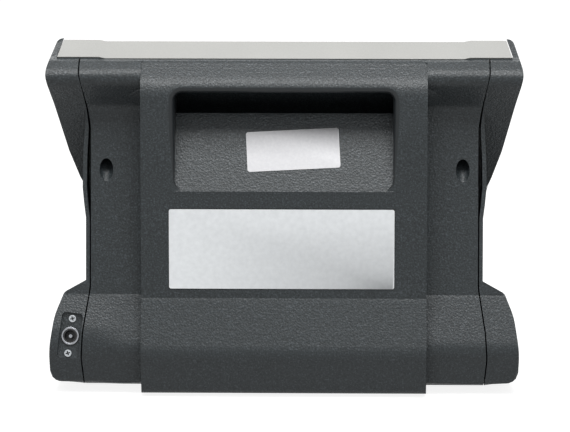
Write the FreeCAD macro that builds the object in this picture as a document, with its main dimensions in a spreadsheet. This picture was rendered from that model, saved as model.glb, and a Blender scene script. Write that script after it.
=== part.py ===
import FreeCAD, Part
import math
import os

import Sketcher
from FreeCAD import Placement, Rotation, Vector

# Table-top air pump for compression garments. It stands on four rubber feet, with its sloping
# face towards -Y, its leaning back towards +Y and the low-voltage inlet at its +X end.
# Lengths are millimetres and angles are degrees. Z = 0 is the table.

SIZES = (
    # outline of the body, seen from the back
    ("top_height", 208.7, "top front edge above the table"),
    ("top_half", 134.5, "half width at the top corners"),
    ("wing_half", 142.6, "half width at the wings' corner, before its radius"),
    ("wing_z", 190.5, "height of the wings' widest corner"),
    ("waist_half", 118.2, "half width at the waist"),
    ("wing_foot_z", 108.7, "height where the wings meet the waist"),
    ("shoulder_z", 67.5, "height of the base shoulder at the waist"),
    ("shoulder_half", 131.2, "half width at the outer end of the shoulder"),
    ("shoulder_fall", 7.4, "fall of the shoulder from waist to outer end"),
    ("flank_half", 136.3, "half width half way down the base flank"),
    ("flank_z", 46.0, "height of that point"),
    ("base_half", 139.3, "widest half width of the base"),
    ("base_z", 24.0, "height of the widest point of the base"),
    ("base_drop", 11.0, "the base shoulders fall this steeply towards the front"),
    ("base_taper", 2.0, "the base flanks draw in this much towards the front"),
    # side profile
    ("face_lean", 35.0, "lean of the face from upright"),
    ("top_front_y", 36.1, "top front edge"),
    ("panel_depth", 15.1, "depth of the pale face panel, square to the face"),
    ("front_y", -80.3, "front wall of the base"),
    ("front_wall_top", 41.0, "top of the upright front wall"),
    ("face_foot_z", 49.5, "height where the face meets the base"),
    ("toe", 6.0, "chamfer at the foot of the front wall"),
    ("floor_z", 4.0, "underside of the housing"),
    ("roll_y", 62.6, "corner of the rolled top edge, before its radius"),
    ("roll_z", 195.1, "height of that corner"),
    ("neck_z", 168.0, "height where the roll meets the flat back"),
    ("crease_y", 58.5, "crease above the lower bulge"),
    ("crease_z", 59.0, "height of the crease"),
    ("bulge_y", 72.5, "lower bulge"),
    ("bulge_z", 34.0, "height of the bulge corner"),
    ("heel_y", 66.0, "lower back edge"),
    ("heel_z", 7.6, "height of the lower back edge"),
    ("step_half", 106.0, "half width of the lower middle of the top edge"),
    ("step_run", 4.0, "run of the step at either end of it"),
    ("step_fall", 1.1, "the middle lies this much lower"),
    ("ledge", 2.7, "ledge that the face panel rests on"),
    ("panel_length", 183.0, "face panel, down the face"),
    # raised centre panel of the rear cover
    ("centre_half", 84.5, "half width of the centre panel"),
    ("centre_top_y", 57.2, "top corner of the centre panel"),
    ("centre_top_z", 196.2, "height of that corner"),
    ("centre_crease_y", 70.0, "crease of the centre panel"),
    ("centre_crease_z", 59.0, "height of that crease"),
    ("centre_bulge_y", 82.5, "bulge of the centre panel"),
    ("centre_bulge_z", 33.0, "height of that bulge"),
    ("centre_heel_y", 75.5, "lower edge of the centre panel"),
    ("centre_heel_z", 3.0, "height of that edge"),
    ("centre_root_y", 42.0, "inner side of the centre panel's block"),
    # seam between the two mouldings
    ("seam_top_half", 121.2, "half width of the rear cover at the roll"),
    ("seam_waist_half", 115.6, "half width of the rear cover at the waist"),
    ("seam_base_half", 120.6, "half width of the rear cover at the base"),
    ("seam_gap", 0.8, "open seam"),
    ("cover_front_y", 30.0, "front edge of the rear cover's skirt"),
    ("wall", 3.2, "moulded wall"),
    ("rim", 3.5, "dark rim round the face panel"),
    ("panel_wall", 3.0, "wall of the face panel"),
    ("joint_gap", 0.4, "gap round the face panel"),
    ("rail_width", 6.0, "inner rail under the top edge"),
    ("rail_thick", 4.0, "thickness of that rail"),
    # handle recess
    ("recess_half", 69.0, "half width of the handle recess"),
    ("recess_foot_z", 122.7, "lower lip of the recess"),
    ("recess_top_z", 180.2, "underside of the upper lip"),
    ("recess_lean", 28.0, "lean of the recess floor"),
    ("recess_floor", 49.0, "length of the recess floor, up its slope"),
    ("pocket_half", 65.0, "half width of the finger pocket"),
    ("pocket_inset", 14.8, "finger pocket to the face, square to the face"),
    ("pocket_top_z", 186.5, "roof of the finger pocket"),
    ("lip_thick", 7.2, "thickness of the lip that the fingers hook"),
    ("recess_wall", 2.5, "wall of the recess"),
    # plates on the back
    ("label_width", 133.3, "rating plate"),
    ("label_height", 47.7, "rating plate"),
    ("label_x", 1.3, "centre of the rating plate"),
    ("label_z", 88.3, "height of the rating plate's centre"),
    ("label_thick", 0.35, "rating plate"),
    ("label_sink", 0.6, "recess of the rating plate"),
    ("label_margin", 0.7, "gap round the rating plate"),
    ("sticker_width", 55.0, "paper sticker on the recess floor"),
    ("sticker_height", 24.8, "paper sticker"),
    ("sticker_x", -5.3, "centre of the sticker"),
    ("sticker_up", 26.0, "sticker's centre, up the recess floor"),
    ("sticker_turn", 3.1, "the sticker sits this far askew"),
    ("sticker_thick", 0.3, "paper sticker"),
    # screws of the rear cover
    ("screw_x", 106.0, "screw holes from the middle"),
    ("screw_z", 132.4, "height of the screw holes"),
    ("screw_rise", 45.0, "the holes run in and up this steeply"),
    ("screw_hole", 4.1, "radius of the screw holes"),
    ("screw_depth", 24.0, "depth of the screw holes"),
    ("boss", 6.8, "radius of the screw bosses"),
    # low-voltage inlet
    ("jack_x", 127.2, "inlet from the middle"),
    ("jack_z", 34.9, "height of the inlet"),
    ("jack_y", 66.0, "flat that the inlet stands on"),
    ("jack_lean", 15.0, "lean of that flat"),
    ("jack_turn", 7.0, "the flat follows the flank"),
    ("jack_flat_width", 12.6, "width of the flat"),
    ("jack_flat_height", 27.5, "height of the flat"),
    ("jack_ring", 5.35, "outer radius of the bright ring"),
    ("jack_bore", 4.15, "inner radius of the bright ring"),
    ("jack_depth", 11.0, "depth of the inlet's bore"),
    ("jack_pin", 1.05, "radius of the centre pin"),
    ("jack_screw", 2.1, "radius of the inlet's screw heads"),
    ("jack_screw_pitch", 10.4, "screw heads from the inlet's axis"),
    # face
    ("window_width", 128.0, "display window"),
    ("window_height", 80.0, "display window"),
    ("window_down", 72.0, "centre of the window, down the face"),
    ("window_thick", 1.5, "display window"),
    ("display_width", 112.0, "opening behind the window"),
    ("display_height", 66.0, "opening behind the window"),
    ("display_depth", 5.6, "display module"),
    ("key_width", 26.0, "keys"),
    ("key_height", 15.0, "keys"),
    ("key_corner", 4.0, "corner radius of the keys"),
    ("key_pitch", 33.0, "keys, centre to centre"),
    ("key_down", 142.0, "centre of the keys, down the face"),
    ("key_proud", 1.8, "keys stand this proud"),
    ("key_travel", 1.0, "travel of the keys"),
    ("key_gap", 0.35, "clearance round a key"),
    ("key_flange", 2.0, "flange behind the panel"),
    ("flange_thick", 1.3, "thickness of the flange"),
    ("stem", 5.0, "width of a key's stem"),
    ("board_depth", 10.6, "key board behind the face"),
    ("board_thick", 1.6, "circuit boards"),
    ("dome_height", 1.0, "switches under the keys"),
    ("dome_width", 6.0, "switches under the keys"),
    # hose sockets on the front
    ("socket_width", 42.0, "hose socket"),
    ("socket_height", 23.0, "hose socket"),
    ("socket_depth", 24.0, "hose socket, front to back"),
    ("socket_wall", 1.8, "hose socket"),
    ("socket_floor", 3.0, "floor of a hose socket"),
    ("socket_corner", 5.0, "corner radius of a hose socket"),
    ("socket_pitch", 56.0, "sockets, centre to centre"),
    ("socket_z", 23.5, "height of the sockets' centres"),
    ("tongue_width", 32.0, "tongue that the hose plug slides over"),
    ("tongue_height", 10.5, "tongue that the hose plug slides over"),
    ("tongue_length", 12.0, "tongue that the hose plug slides over"),
    # feet
    ("foot", 8.0, "radius of a foot"),
    ("foot_front_x", 98.0, "front feet from the middle"),
    ("foot_front_y", -62.0, "front feet"),
    ("foot_back_x", 70.0, "back feet from the middle"),
    ("foot_back_y", 44.0, "back feet"),
    ("foot_sink", 0.8, "feet sit this deep in the underside"),
    # pump
    ("mount_height", 5.0, "rubber mounts under the chassis"),
    ("chassis_thick", 2.0, "chassis plate"),
    ("chassis_width", 176.0, "chassis plate"),
    ("chassis_length", 74.0, "chassis plate, front to back"),
    ("chassis_y", 13.0, "centre of the chassis plate"),
    ("motor", 21.0, "radius of the motor"),
    ("motor_length", 56.0, "motor"),
    ("motor_z", 41.0, "height of the motor shaft"),
    ("motor_x", 22.0, "centre of the motor"),
    ("shaft", 3.0, "radius of the motor shaft"),
    ("shaft_seat", 24.0, "the shaft's bearing seat in the motor"),
    ("crank_width", 46.0, "crank case, square to the shaft"),
    ("crank_length", 34.0, "crank case, along the shaft"),
    ("crank_wall", 3.0, "crank case"),
    ("throw", 4.0, "offset of the eccentric"),
    ("eccentric", 9.0, "radius of the eccentric"),
    ("running_gap", 0.08, "clearance round the shaft"),
    ("head_height", 13.0, "pump heads"),
    ("manifold_thick", 18.0, "valve manifold, front to back"),
    ("manifold_height", 32.0, "valve manifold"),
    ("valve", 12.0, "width of a solenoid valve"),
    ("valve_length", 27.0, "solenoid valve"),
    ("valve_pitch", 24.0, "valves, centre to centre"),
    ("board_width", 150.0, "main circuit board"),
    ("board_height", 50.0, "main circuit board"),
    ("board_stand", 8.0, "main board behind the rear cover's wall"),
)

doc = FreeCAD.newDocument("CompressionPump")
sheet = doc.addObject("Spreadsheet::Sheet", "Sizes")
for row, (alias, number, note) in enumerate(SIZES, start=1):
    sheet.set("A%d" % row, alias)
    sheet.set("B%d" % row, str(number))
    sheet.set("C%d" % row, note)
    sheet.setAlias("B%d" % row, alias)
doc.recompute()

UP = Vector(0, 0, 1)
SIDE = Vector(1, 0, 0)
BACK = Vector(0, 1, 0)
SIDE_VIEW = Rotation(Vector(1, 1, 1), 120)
BACK_VIEW = Rotation(SIDE, 90)
NODES = []

gauge = doc.addObject("App::FeaturePython", "Gauge")
gauge.addProperty("App::PropertyFloat", "Reading")


def size(alias):
    """A driving size, as a number."""
    return float(sheet.get(alias))


def reading(expression):
    """What an expression of the sheet gives, used as a sketch's first guess."""
    gauge.setExpression("Reading", expression)
    gauge.recompute()
    return gauge.Reading


def made(feature):
    """A feature, once it has been worked out and has a sound shape."""
    doc.recompute()
    shape = feature.Shape
    if shape.isNull() or not shape.isValid() or "Invalid" in feature.State:
        raise RuntimeError("%s has no sound shape: %s" % (feature.Name, feature.State))
    return feature


def outline(name, view, corners):
    """Closed sketch of straight runs; each corner is a pair of expressions of the sheet."""
    sketch = doc.addObject("Sketcher::SketchObject", name)
    sketch.Placement = Placement(Vector(), view)
    guess = [Vector(reading(across), reading(along), 0) for across, along in corners]
    for start, end in zip(guess, guess[1:] + guess[:1]):
        sketch.addGeometry(Part.LineSegment(start, end), False)
    last = len(corners) - 1
    for index, (across, along) in enumerate(corners):
        following = 0 if index == last else index + 1
        sketch.addConstraint(Sketcher.Constraint("Coincident", index, 2, following, 1))
        for kind, expression, value in (("DistanceX", across, guess[index].x),
                                        ("DistanceY", along, guess[index].y)):
            number = sketch.addConstraint(Sketcher.Constraint(kind, -1, 1, index, 1, value))
            sketch.setExpression("Constraints[%d]" % number, expression)
    return made(sketch)


def mirrored(half):
    """The full symmetric outline of a right half that runs from the bottom to the top."""
    return half + [("-(%s)" % across, along) for across, along in reversed(half)]


def grown(name, sketch, distance):
    """A sketch's outline, moved outwards by an expression of the sheet."""
    offset = doc.addObject("Part::Offset2D", name)
    offset.Source = sketch
    offset.Join = 2
    offset.Value = reading(distance)
    offset.setExpression("Value", distance)
    return made(offset)


def prism(name, sketch, direction, length):
    """Solid prism of an outline, reaching length (an expression) to both sides of it."""
    extrusion = doc.addObject("Part::Extrusion", name)
    extrusion.Base = sketch
    extrusion.DirMode = "Custom"
    extrusion.Dir = direction
    extrusion.Solid = True
    extrusion.setExpression("LengthFwd", length)
    extrusion.setExpression("LengthRev", length)
    return made(extrusion)


def rounded(name, base, radii):
    """Base with its edges rounded; radii pairs a test of an edge with its radius."""
    fillet = doc.addObject("Part::Fillet", name)
    fillet.Base = base
    chosen = []
    for number, edge in enumerate(base.Shape.Edges, start=1):
        radius = next((value for test, value in radii if test(edge)), 0)
        if radius:
            chosen.append((number, radius, radius))
    fillet.Edges = chosen
    return made(fillet)


def runs_along(direction):
    """Test for straight edges that run along a direction."""
    def test(edge):
        if edge.Curve.TypeId != "Part::GeomLine":
            return False
        return abs(abs(edge.Curve.Direction.dot(direction)) - 1) < 1e-6
    return test


def near(direction, across, along, reach=1.0):
    """Test for edges along a direction whose place in the plane square to it is near a point."""
    along_axis = runs_along(direction)

    def test(edge):
        if not along_axis(edge):
            return False
        point = edge.CenterOfMass
        flat = (point.y, point.z) if direction == SIDE else (point.x, point.z)
        return math.hypot(flat[0] - across, flat[1] - along) < reach
    return test


def block(name, length, width, height, place):
    """Box centred on its placement in X and Y and standing on it, sized by expressions."""
    box = doc.addObject("Part::Box", name)
    box.setExpression("Length", length)
    box.setExpression("Width", width)
    box.setExpression("Height", height)
    middle = Vector(-reading(length) / 2, -reading(width) / 2, 0)
    box.Placement = place.multiply(Placement(middle, Rotation()))
    return made(box)


def plate(name, length, width, height, corner, place):
    """Box as block makes it, with its four upright edges rounded."""
    box = block(name + "_box", length, width, height, place)
    upright = place.Rotation.multVec(UP)
    return rounded(name, box, [(runs_along(upright), corner)])


def rod(name, radius, height, place):
    """Cylinder that stands on its placement, sized by expressions."""
    cylinder = doc.addObject("Part::Cylinder", name)
    cylinder.setExpression("Radius", radius)
    cylinder.setExpression("Height", height)
    cylinder.Placement = place
    return made(cylinder)


def fuse(name, *shapes):
    """One solid of several that meet."""
    union = doc.addObject("Part::MultiFuse", name)
    union.Shapes = list(shapes)
    union.Refine = True
    return made(union)


def common(name, first, second):
    """What two solids share."""
    shared = doc.addObject("Part::Common", name)
    shared.Base = first
    shared.Tool = second
    return made(shared)


def cut(name, base, *tools):
    """Base less every tool in turn; each tool has to take something away."""
    for number, tool in enumerate(tools, start=1):
        rest = doc.addObject("Part::Cut", "%s_%d" % (name, number))
        rest.Base = base
        rest.Tool = tool
        made(rest)
        if rest.Shape.Volume > base.Shape.Volume - 1e-3:
            raise RuntimeError("%s: %s cuts nothing" % (name, tool.Name))
        base = rest
    return base


def group(name, *shapes):
    """Separate solids that make one node."""
    compound = doc.addObject("Part::Compound", name)
    compound.Links = list(shapes)
    return made(compound)


def node(label, feature):
    """Name a sub-part; its label names its file."""
    feature.Label = label
    NODES.append(feature)
    return feature


def leaning(y, z, lean, x=0.0):
    """Placement on a back-facing plane that leans forward: X runs left as seen from the back."""
    lean = math.radians(lean)
    up_slope = Vector(0, -math.sin(lean), math.cos(lean))
    outwards = Vector(0, math.cos(lean), math.sin(lean))
    return Placement(Vector(x, y, z), Rotation(Vector(-1, 0, 0), up_slope, outwards, "ZXY"))


def at(x, y, z):
    """Placement without a turn."""
    return Placement(Vector(x, y, z), Rotation())


# ---------------------------------------------------------------- the face's own frame
# X across, Y up the slope from the top front edge, Z square out of the face.
FACE = Placement(Vector(0, size("top_front_y"), size("top_height")),
                 Rotation(SIDE, 90 - size("face_lean")))


def on_face(x, up, out):
    """Placement on the face, up its slope and out of it."""
    return FACE.multiply(at(x, up, out))


def face_point(up, out):
    """Side-view coordinates of a point of the face's frame, as expressions."""
    across = "Sizes.top_front_y + (%s) * sin(Sizes.face_lean) - (%s) * cos(Sizes.face_lean)"
    along = "Sizes.top_height + (%s) * cos(Sizes.face_lean) + (%s) * sin(Sizes.face_lean)"
    return (across % (up, out), along % (up, out))


def face_y(z):
    """The face's y at a height."""
    return "Sizes.top_front_y - (Sizes.top_height - (%s)) * tan(Sizes.face_lean)" % z


# ---------------------------------------------------------------- outer form of the housing
roll_back_y = "Sizes.roll_y - (Sizes.roll_z - (%s)) * tan(Sizes.face_lean)"
core_profile = outline("CoreProfile", SIDE_VIEW, [
    ("Sizes.front_y + Sizes.toe", "Sizes.floor_z"),
    ("Sizes.front_y", "Sizes.floor_z + Sizes.toe"),
    ("Sizes.front_y", "Sizes.front_wall_top"),
    (face_y("Sizes.face_foot_z"), "Sizes.face_foot_z"),
    ("Sizes.top_front_y", "Sizes.top_height"),
    face_point("0", "-Sizes.panel_depth"),
    ("Sizes.roll_y", "Sizes.roll_z"),
    (roll_back_y % "Sizes.neck_z", "Sizes.neck_z"),
    ("Sizes.crease_y", "Sizes.crease_z"),
    ("Sizes.bulge_y", "Sizes.bulge_z"),
    ("Sizes.heel_y", "Sizes.heel_z"),
    ("Sizes.heel_y - 12", "Sizes.floor_z"),
])
roll_edge = (size("roll_y"), size("roll_z"))
neck_edge = (reading(roll_back_y % "Sizes.neck_z"), size("neck_z"))
ROLL_ROUND = 10.5
core_sharp = prism("CoreSharp", core_profile, SIDE, "Sizes.wing_half + 5")
core_round = rounded("CoreRound", core_sharp, [
    (near(SIDE, *roll_edge), ROLL_ROUND),
    (near(SIDE, *neck_edge), 8.0),
    (near(SIDE, size("crease_y"), size("crease_z")), 3.0),
    (near(SIDE, size("bulge_y"), size("bulge_z")), 25.0),
    (near(SIDE, size("heel_y"), size("heel_z")), 4.0),
    (near(SIDE, size("front_y"), size("front_wall_top")), 5.0),
    (near(SIDE, reading(face_y("Sizes.face_foot_z")), size("face_foot_z")), 4.0),
])
waist_block = block("WaistBlock", "2 * Sizes.waist_half", "2 * 150", "Sizes.top_height + 20",
                    at(0, 0, -10))
core = common("Core", core_round, waist_block)

wing_low = "Sizes.wing_foot_z - 14"
wing_profile = outline("WingProfile", SIDE_VIEW, [
    ("Sizes.top_front_y", "Sizes.top_height"),
    face_point("0", "-Sizes.panel_depth"),
    ("Sizes.roll_y", "Sizes.roll_z"),
    (roll_back_y % wing_low, wing_low),
    (face_y(wing_low), wing_low),
])
wing_sharp = prism("WingSharp", wing_profile, SIDE, "Sizes.wing_half + 5")
wing_round = rounded("WingRound", wing_sharp, [(near(SIDE, *roll_edge), ROLL_ROUND)])
head_outline = outline("HeadOutline", BACK_VIEW, mirrored([
    ("Sizes.waist_half", wing_low + " - 6"),
    ("Sizes.waist_half", "Sizes.wing_foot_z"),
    ("Sizes.wing_half", "Sizes.wing_z"),
    ("Sizes.top_half", "Sizes.top_height"),
]))
head_sharp = prism("HeadSharp", head_outline, BACK, "150")
head_radii = []
for side in (-1, 1):
    head_radii += [
        (near(BACK, side * size("wing_half"), size("wing_z")), 25.0),
        (near(BACK, side * size("waist_half"), size("wing_foot_z")), 12.0),
        (near(BACK, side * size("top_half"), size("top_height")), 5.0),
    ]
head_round = rounded("HeadRound", head_sharp, head_radii)
wings = common("Wings", wing_round, head_round)

flank_inner = "Sizes.waist_half - 50"
shoulder_rise = "50 * Sizes.shoulder_fall / (Sizes.shoulder_half - Sizes.waist_half)"
drop = math.radians(size("base_drop"))
taper = math.radians(size("base_taper"))
bases = []
flanks = []
for side, name in ((1, "Right"), (-1, "Left")):
    across = "%d * (%s)"
    flank = outline("Flank" + name, BACK_VIEW, [
        (across % (side, flank_inner), "-30"),
        (across % (side, flank_inner), "Sizes.shoulder_z + " + shoulder_rise),
        (across % (side, "Sizes.shoulder_half"), "Sizes.shoulder_z - Sizes.shoulder_fall"),
        (across % (side, "Sizes.flank_half"), "Sizes.flank_z"),
        (across % (side, "Sizes.base_half"), "Sizes.base_z"),
        (across % (side, "Sizes.base_half - 0.4"), "5.5"),
        (across % (side, "Sizes.base_half - 12"), "-30"),
    ])
    flank.Placement = Placement(Vector(0, size("crease_y"), 0), BACK_VIEW)
    sweep = Vector(side * math.sin(taper), math.cos(taper) * math.cos(drop), math.sin(drop))
    flank_sharp = prism("FlankSharp" + name, flank, sweep, "170")
    unit = Vector(sweep).normalize()
    radii = []
    for spot_x, spot_z, radius in (("shoulder_half", None, 5.0), ("flank_half", "flank_z", 40.0),
                                   ("base_half", "base_z", 80.0)):
        spot = Vector(side * size(spot_x), size("crease_y"),
                      size(spot_z) if spot_z else size("shoulder_z") - size("shoulder_fall"))

        def on_spot(edge, spot=spot, unit=unit):
            if not runs_along(unit)(edge):
                return False
            offset = edge.CenterOfMass - spot
            return (offset - unit * offset.dot(unit)).Length < 1.0
        radii.append((on_spot, radius))
    flank_round = rounded("FlankRound" + name, flank_sharp, radii)
    bases.append(common("Base" + name, core_round, flank_round))
    flanks.append((flank, sweep))

centre_profile = outline("CentreProfile", SIDE_VIEW, [
    ("Sizes.centre_top_y - 7.2", "Sizes.centre_top_z + 2.4"),
    ("Sizes.centre_top_y", "Sizes.centre_top_z"),
    ("Sizes.centre_crease_y", "Sizes.centre_crease_z"),
    ("Sizes.centre_bulge_y", "Sizes.centre_bulge_z"),
    ("Sizes.centre_heel_y", "Sizes.centre_heel_z"),
    ("Sizes.centre_heel_y - 22", "Sizes.centre_heel_z + 1"),
    ("Sizes.centre_root_y", "Sizes.crease_z"),
    ("Sizes.centre_root_y", "Sizes.neck_z"),
])
centre_sharp = prism("CentreSharp", centre_profile, SIDE, "Sizes.centre_half")
centre_round = rounded("CentreRound", centre_sharp, [
    (near(SIDE, size("centre_top_y"), size("centre_top_z")), 7.0),
    (near(SIDE, size("centre_crease_y"), size("centre_crease_z")), 3.0),
    (near(SIDE, size("centre_bulge_y"), size("centre_bulge_z")), 25.0),
    (near(SIDE, size("centre_heel_y"), size("centre_heel_z")), 4.0),
])
# The middle of the top edge lies a little lower than its two ends.
step_top = face_point("-Sizes.step_fall", "-Sizes.panel_depth")
step_profile = outline("StepProfile", SIDE_VIEW, [
    face_point("9", "9"),
    face_point("-Sizes.step_fall", "9"),
    step_top,
    ("%s + 5" % step_top[0], "%s - 0.9" % step_top[1]),
    ("%s + 5" % step_top[0], "%s + 12" % step_top[1]),
])
step_outline = outline("StepOutline", BACK_VIEW, mirrored([
    ("Sizes.step_half", "Sizes.top_height - Sizes.step_fall / cos(Sizes.face_lean)"),
    ("Sizes.step_half + Sizes.step_run", "Sizes.top_height"),
    ("Sizes.step_half + Sizes.step_run", "Sizes.top_height + 20"),
]))
step_outline.Placement = Placement(Vector(0, size("top_front_y"), 0), BACK_VIEW)
down_band = FACE.Rotation.multVec(-UP)
step = common("Step", prism("StepAlong", step_outline, down_band, "30"),
              prism("StepAcross", step_profile, SIDE, "Sizes.wing_half"))
body = cut("Body", fuse("BodyWhole", core, wings, bases[0], bases[1]), step)
back_form = cut("BackForm", fuse("BackWhole", core, wings, bases[0], bases[1], centre_round), step)

# ---------------------------------------------------------------- where the mouldings part
cover_front = "-(Sizes.panel_depth + Sizes.seam_gap / 2)"
rail_back = "-(Sizes.panel_depth + Sizes.seam_gap + Sizes.rail_thick)"
rail_top = "-(Sizes.wall + 0.2)"
skirt_up = ("(Sizes.cover_front_y - Sizes.top_front_y + (%s) * cos(Sizes.face_lean))"
            " / sin(Sizes.face_lean)" % rail_back)
cover_side = outline("CoverSide", SIDE_VIEW, [
    face_point("14", cover_front),
    face_point(rail_top, cover_front),
    face_point(rail_top, rail_back),
    face_point(skirt_up, rail_back),
    ("Sizes.cover_front_y", "-20"),
    ("Sizes.centre_bulge_y + 20", "-20"),
    ("Sizes.centre_bulge_y + 20", "Sizes.top_height + 12"),
])
seam_outline = outline("SeamOutline", BACK_VIEW, mirrored([
    ("Sizes.seam_base_half - 1.5", "-20"),
    ("Sizes.seam_base_half - 1.5", "6"),
    ("Sizes.seam_base_half", "22"),
    ("Sizes.seam_base_half - 1", "Sizes.bulge_z + 4"),
    ("Sizes.seam_waist_half", "Sizes.crease_z + 4"),
    ("Sizes.seam_waist_half", "Sizes.neck_z - 10"),
    ("Sizes.seam_top_half", "Sizes.roll_z - 4"),
    ("Sizes.seam_top_half", "Sizes.top_height + 12"),
]))


def seam_prism(name, distance):
    """The rear cover's share in the back view, moved outwards by an expression."""
    sharp = prism(name + "Sharp", grown(name + "Grown", seam_outline, distance), BACK, "150")
    radii = []
    for half in (-1, 1):
        for alias, height, radius in (("seam_base_half", 22, 20.0),
                                      ("seam_waist_half", size("crease_z") + 4, 25.0),
                                      ("seam_waist_half", size("neck_z") - 10, 30.0),
                                      ("seam_top_half", size("roll_z") - 4, 12.0)):
            radii.append((near(BACK, half * size(alias), height, 2.0), radius))
    return rounded(name, sharp, radii)


cover_region = common("CoverRegion", prism("CoverAcross", cover_side, SIDE, "Sizes.wing_half"),
                      seam_prism("SeamInside", "-Sizes.seam_gap / 2"))
cover_room = common("CoverRoom",
                    prism("RoomAcross", grown("RoomSide", cover_side, "0.2"), SIDE,
                          "Sizes.wing_half"),
                    seam_prism("SeamOutside", "Sizes.seam_gap / 2"))

# ---------------------------------------------------------------- hollows
inner_round = ROLL_ROUND - size("wall")
inner_sharp = prism("InnerSharp", grown("InnerProfile", core_profile, "-Sizes.wall"), SIDE,
                    "Sizes.wing_half")
inner_core = rounded("InnerCore", inner_sharp, [
    (near(SIDE, *roll_edge, 6.5), inner_round),
    (near(SIDE, size("bulge_y"), size("bulge_z"), 6.0), 20.0),
])
inner_wing = rounded("InnerWing", prism("InnerWingSharp",
                                        grown("InnerWingProfile", wing_profile, "-Sizes.wall"),
                                        SIDE, "Sizes.wing_half"),
                     [(near(SIDE, *roll_edge, 6.5), inner_round)])
wing_hollow = common("WingHollow", inner_wing,
                     prism("InnerHead", grown("InnerOutline", head_outline,
                                              "-(Sizes.rim + Sizes.ledge)"), BACK, "150"))
core_hollow = common("CoreHollow", inner_core,
                     block("InnerWaist", "2 * (Sizes.waist_half - Sizes.wall)", "300",
                           "Sizes.top_height + 20", at(0, 0, -10)))
flank_hollows = []
for flank, sweep in flanks:
    inner_flank = prism("Inner" + flank.Name, grown(flank.Name + "In", flank, "-Sizes.wall"),
                        sweep, "170")
    flank_hollows.append(common(flank.Name + "Hollow", inner_core, inner_flank))

# ---------------------------------------------------------------- pale face panel
face_outline = outline("FaceOutline", BACK_VIEW, mirrored([
    ("Sizes.waist_half - Sizes.rim", "0"),
    ("Sizes.waist_half - Sizes.rim", "Sizes.wing_foot_z"),
    ("Sizes.wing_half - Sizes.rim", "Sizes.wing_z"),
    ("Sizes.top_half - Sizes.rim", "Sizes.top_height"),
    ("Sizes.top_half - Sizes.rim", "Sizes.top_height + 30"),
]))
panel_end = "-(Sizes.panel_length)"
pocket_side = outline("FacePocketSide", SIDE_VIEW, [
    face_point("30", "20"),
    face_point(panel_end, "20"),
    face_point(panel_end, "-(Sizes.panel_depth + Sizes.joint_gap)"),
    face_point("30", "-(Sizes.panel_depth + Sizes.joint_gap)"),
])
face_pocket = common("FacePocket", prism("PocketAcross", pocket_side, SIDE, "Sizes.wing_half"),
                     prism("PocketAlong", face_outline, BACK, "150"))
panel_low = "-(Sizes.panel_length - Sizes.joint_gap)"
panel_side = outline("PanelSide", SIDE_VIEW, [
    face_point("30", "20"),
    face_point(panel_low, "20"),
    face_point(panel_low, "-Sizes.panel_depth"),
    face_point("30", "-Sizes.panel_depth"),
])
panel_block = common("PanelBlock", prism("PanelAcross", panel_side, SIDE, "Sizes.wing_half"),
                     prism("PanelAlong", grown("PanelOutline", face_outline,
                                               "-Sizes.joint_gap"), BACK, "150"))
hollow_low = "-(Sizes.panel_length - Sizes.joint_gap - Sizes.panel_wall)"
panel_hollow_side = outline("PanelHollowSide", SIDE_VIEW, [
    face_point("-Sizes.panel_wall - Sizes.step_fall", "-Sizes.panel_wall"),
    face_point(hollow_low, "-Sizes.panel_wall"),
    face_point(hollow_low, "-Sizes.panel_depth - 5"),
    face_point("-Sizes.panel_wall - Sizes.step_fall", "-Sizes.panel_depth - 5"),
])
panel_hollow = common("PanelHollow",
                      prism("PanelHollowAcross", panel_hollow_side, SIDE, "Sizes.wing_half"),
                      prism("PanelHollowAlong",
                            grown("PanelHollowOutline", face_outline,
                                  "-(Sizes.joint_gap + Sizes.panel_wall)"), BACK, "150"))
window_seat = plate("WindowSeat", "Sizes.window_width + 2 * Sizes.joint_gap",
                    "Sizes.window_height + 2 * Sizes.joint_gap", "10", 4.0,
                    on_face(0, -size("window_down"), -size("window_thick")))
display_hole = plate("DisplayHole", "Sizes.display_width", "Sizes.display_height", "30", 2.0,
                     on_face(0, -size("window_down"), -15))
KEYS = ("power_key", "left_key", "down_key", "up_key", "right_key", "start_key")
key_places = [on_face((number - (len(KEYS) - 1) / 2) * size("key_pitch"), -size("key_down"), 0)
              for number in range(len(KEYS))]
key_holes = [plate("KeyHole%d" % number, "Sizes.key_width + 2 * Sizes.key_gap",
                   "Sizes.key_height + 2 * Sizes.key_gap", "20",
                   size("key_corner") + size("key_gap"), place.multiply(at(0, 0, -10)))
             for number, place in enumerate(key_places)]
panel_shell = cut("PanelShell", common("PanelForm", body, panel_block), panel_hollow,
                  window_seat, display_hole, *key_holes)
key_posts = [block("KeyPost%d" % number, "4", "4", "Sizes.board_depth - Sizes.panel_wall + 1",
                   on_face(x * 2 * size("key_pitch"),
                           y * (size("key_height") / 2 + 5.5) - size("key_down"),
                           -size("board_depth")))
             for number, (x, y) in enumerate(((-1, -1), (-1, 1), (1, -1), (1, 1)))]
node("face_panel", fuse("FacePanel", panel_shell, *key_posts))
node("display_window", plate("DisplayWindow", "Sizes.window_width", "Sizes.window_height",
                             "Sizes.window_thick - 0.1", 3.6,
                             on_face(0, -size("window_down"), -size("window_thick") + 0.1)))
node("lcd_module", block("LcdModule", "Sizes.display_width + 8", "Sizes.display_height + 8",
                         "Sizes.display_depth",
                         on_face(0, -size("window_down"),
                                 -size("panel_wall") - 0.1 - size("display_depth"))))

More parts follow.
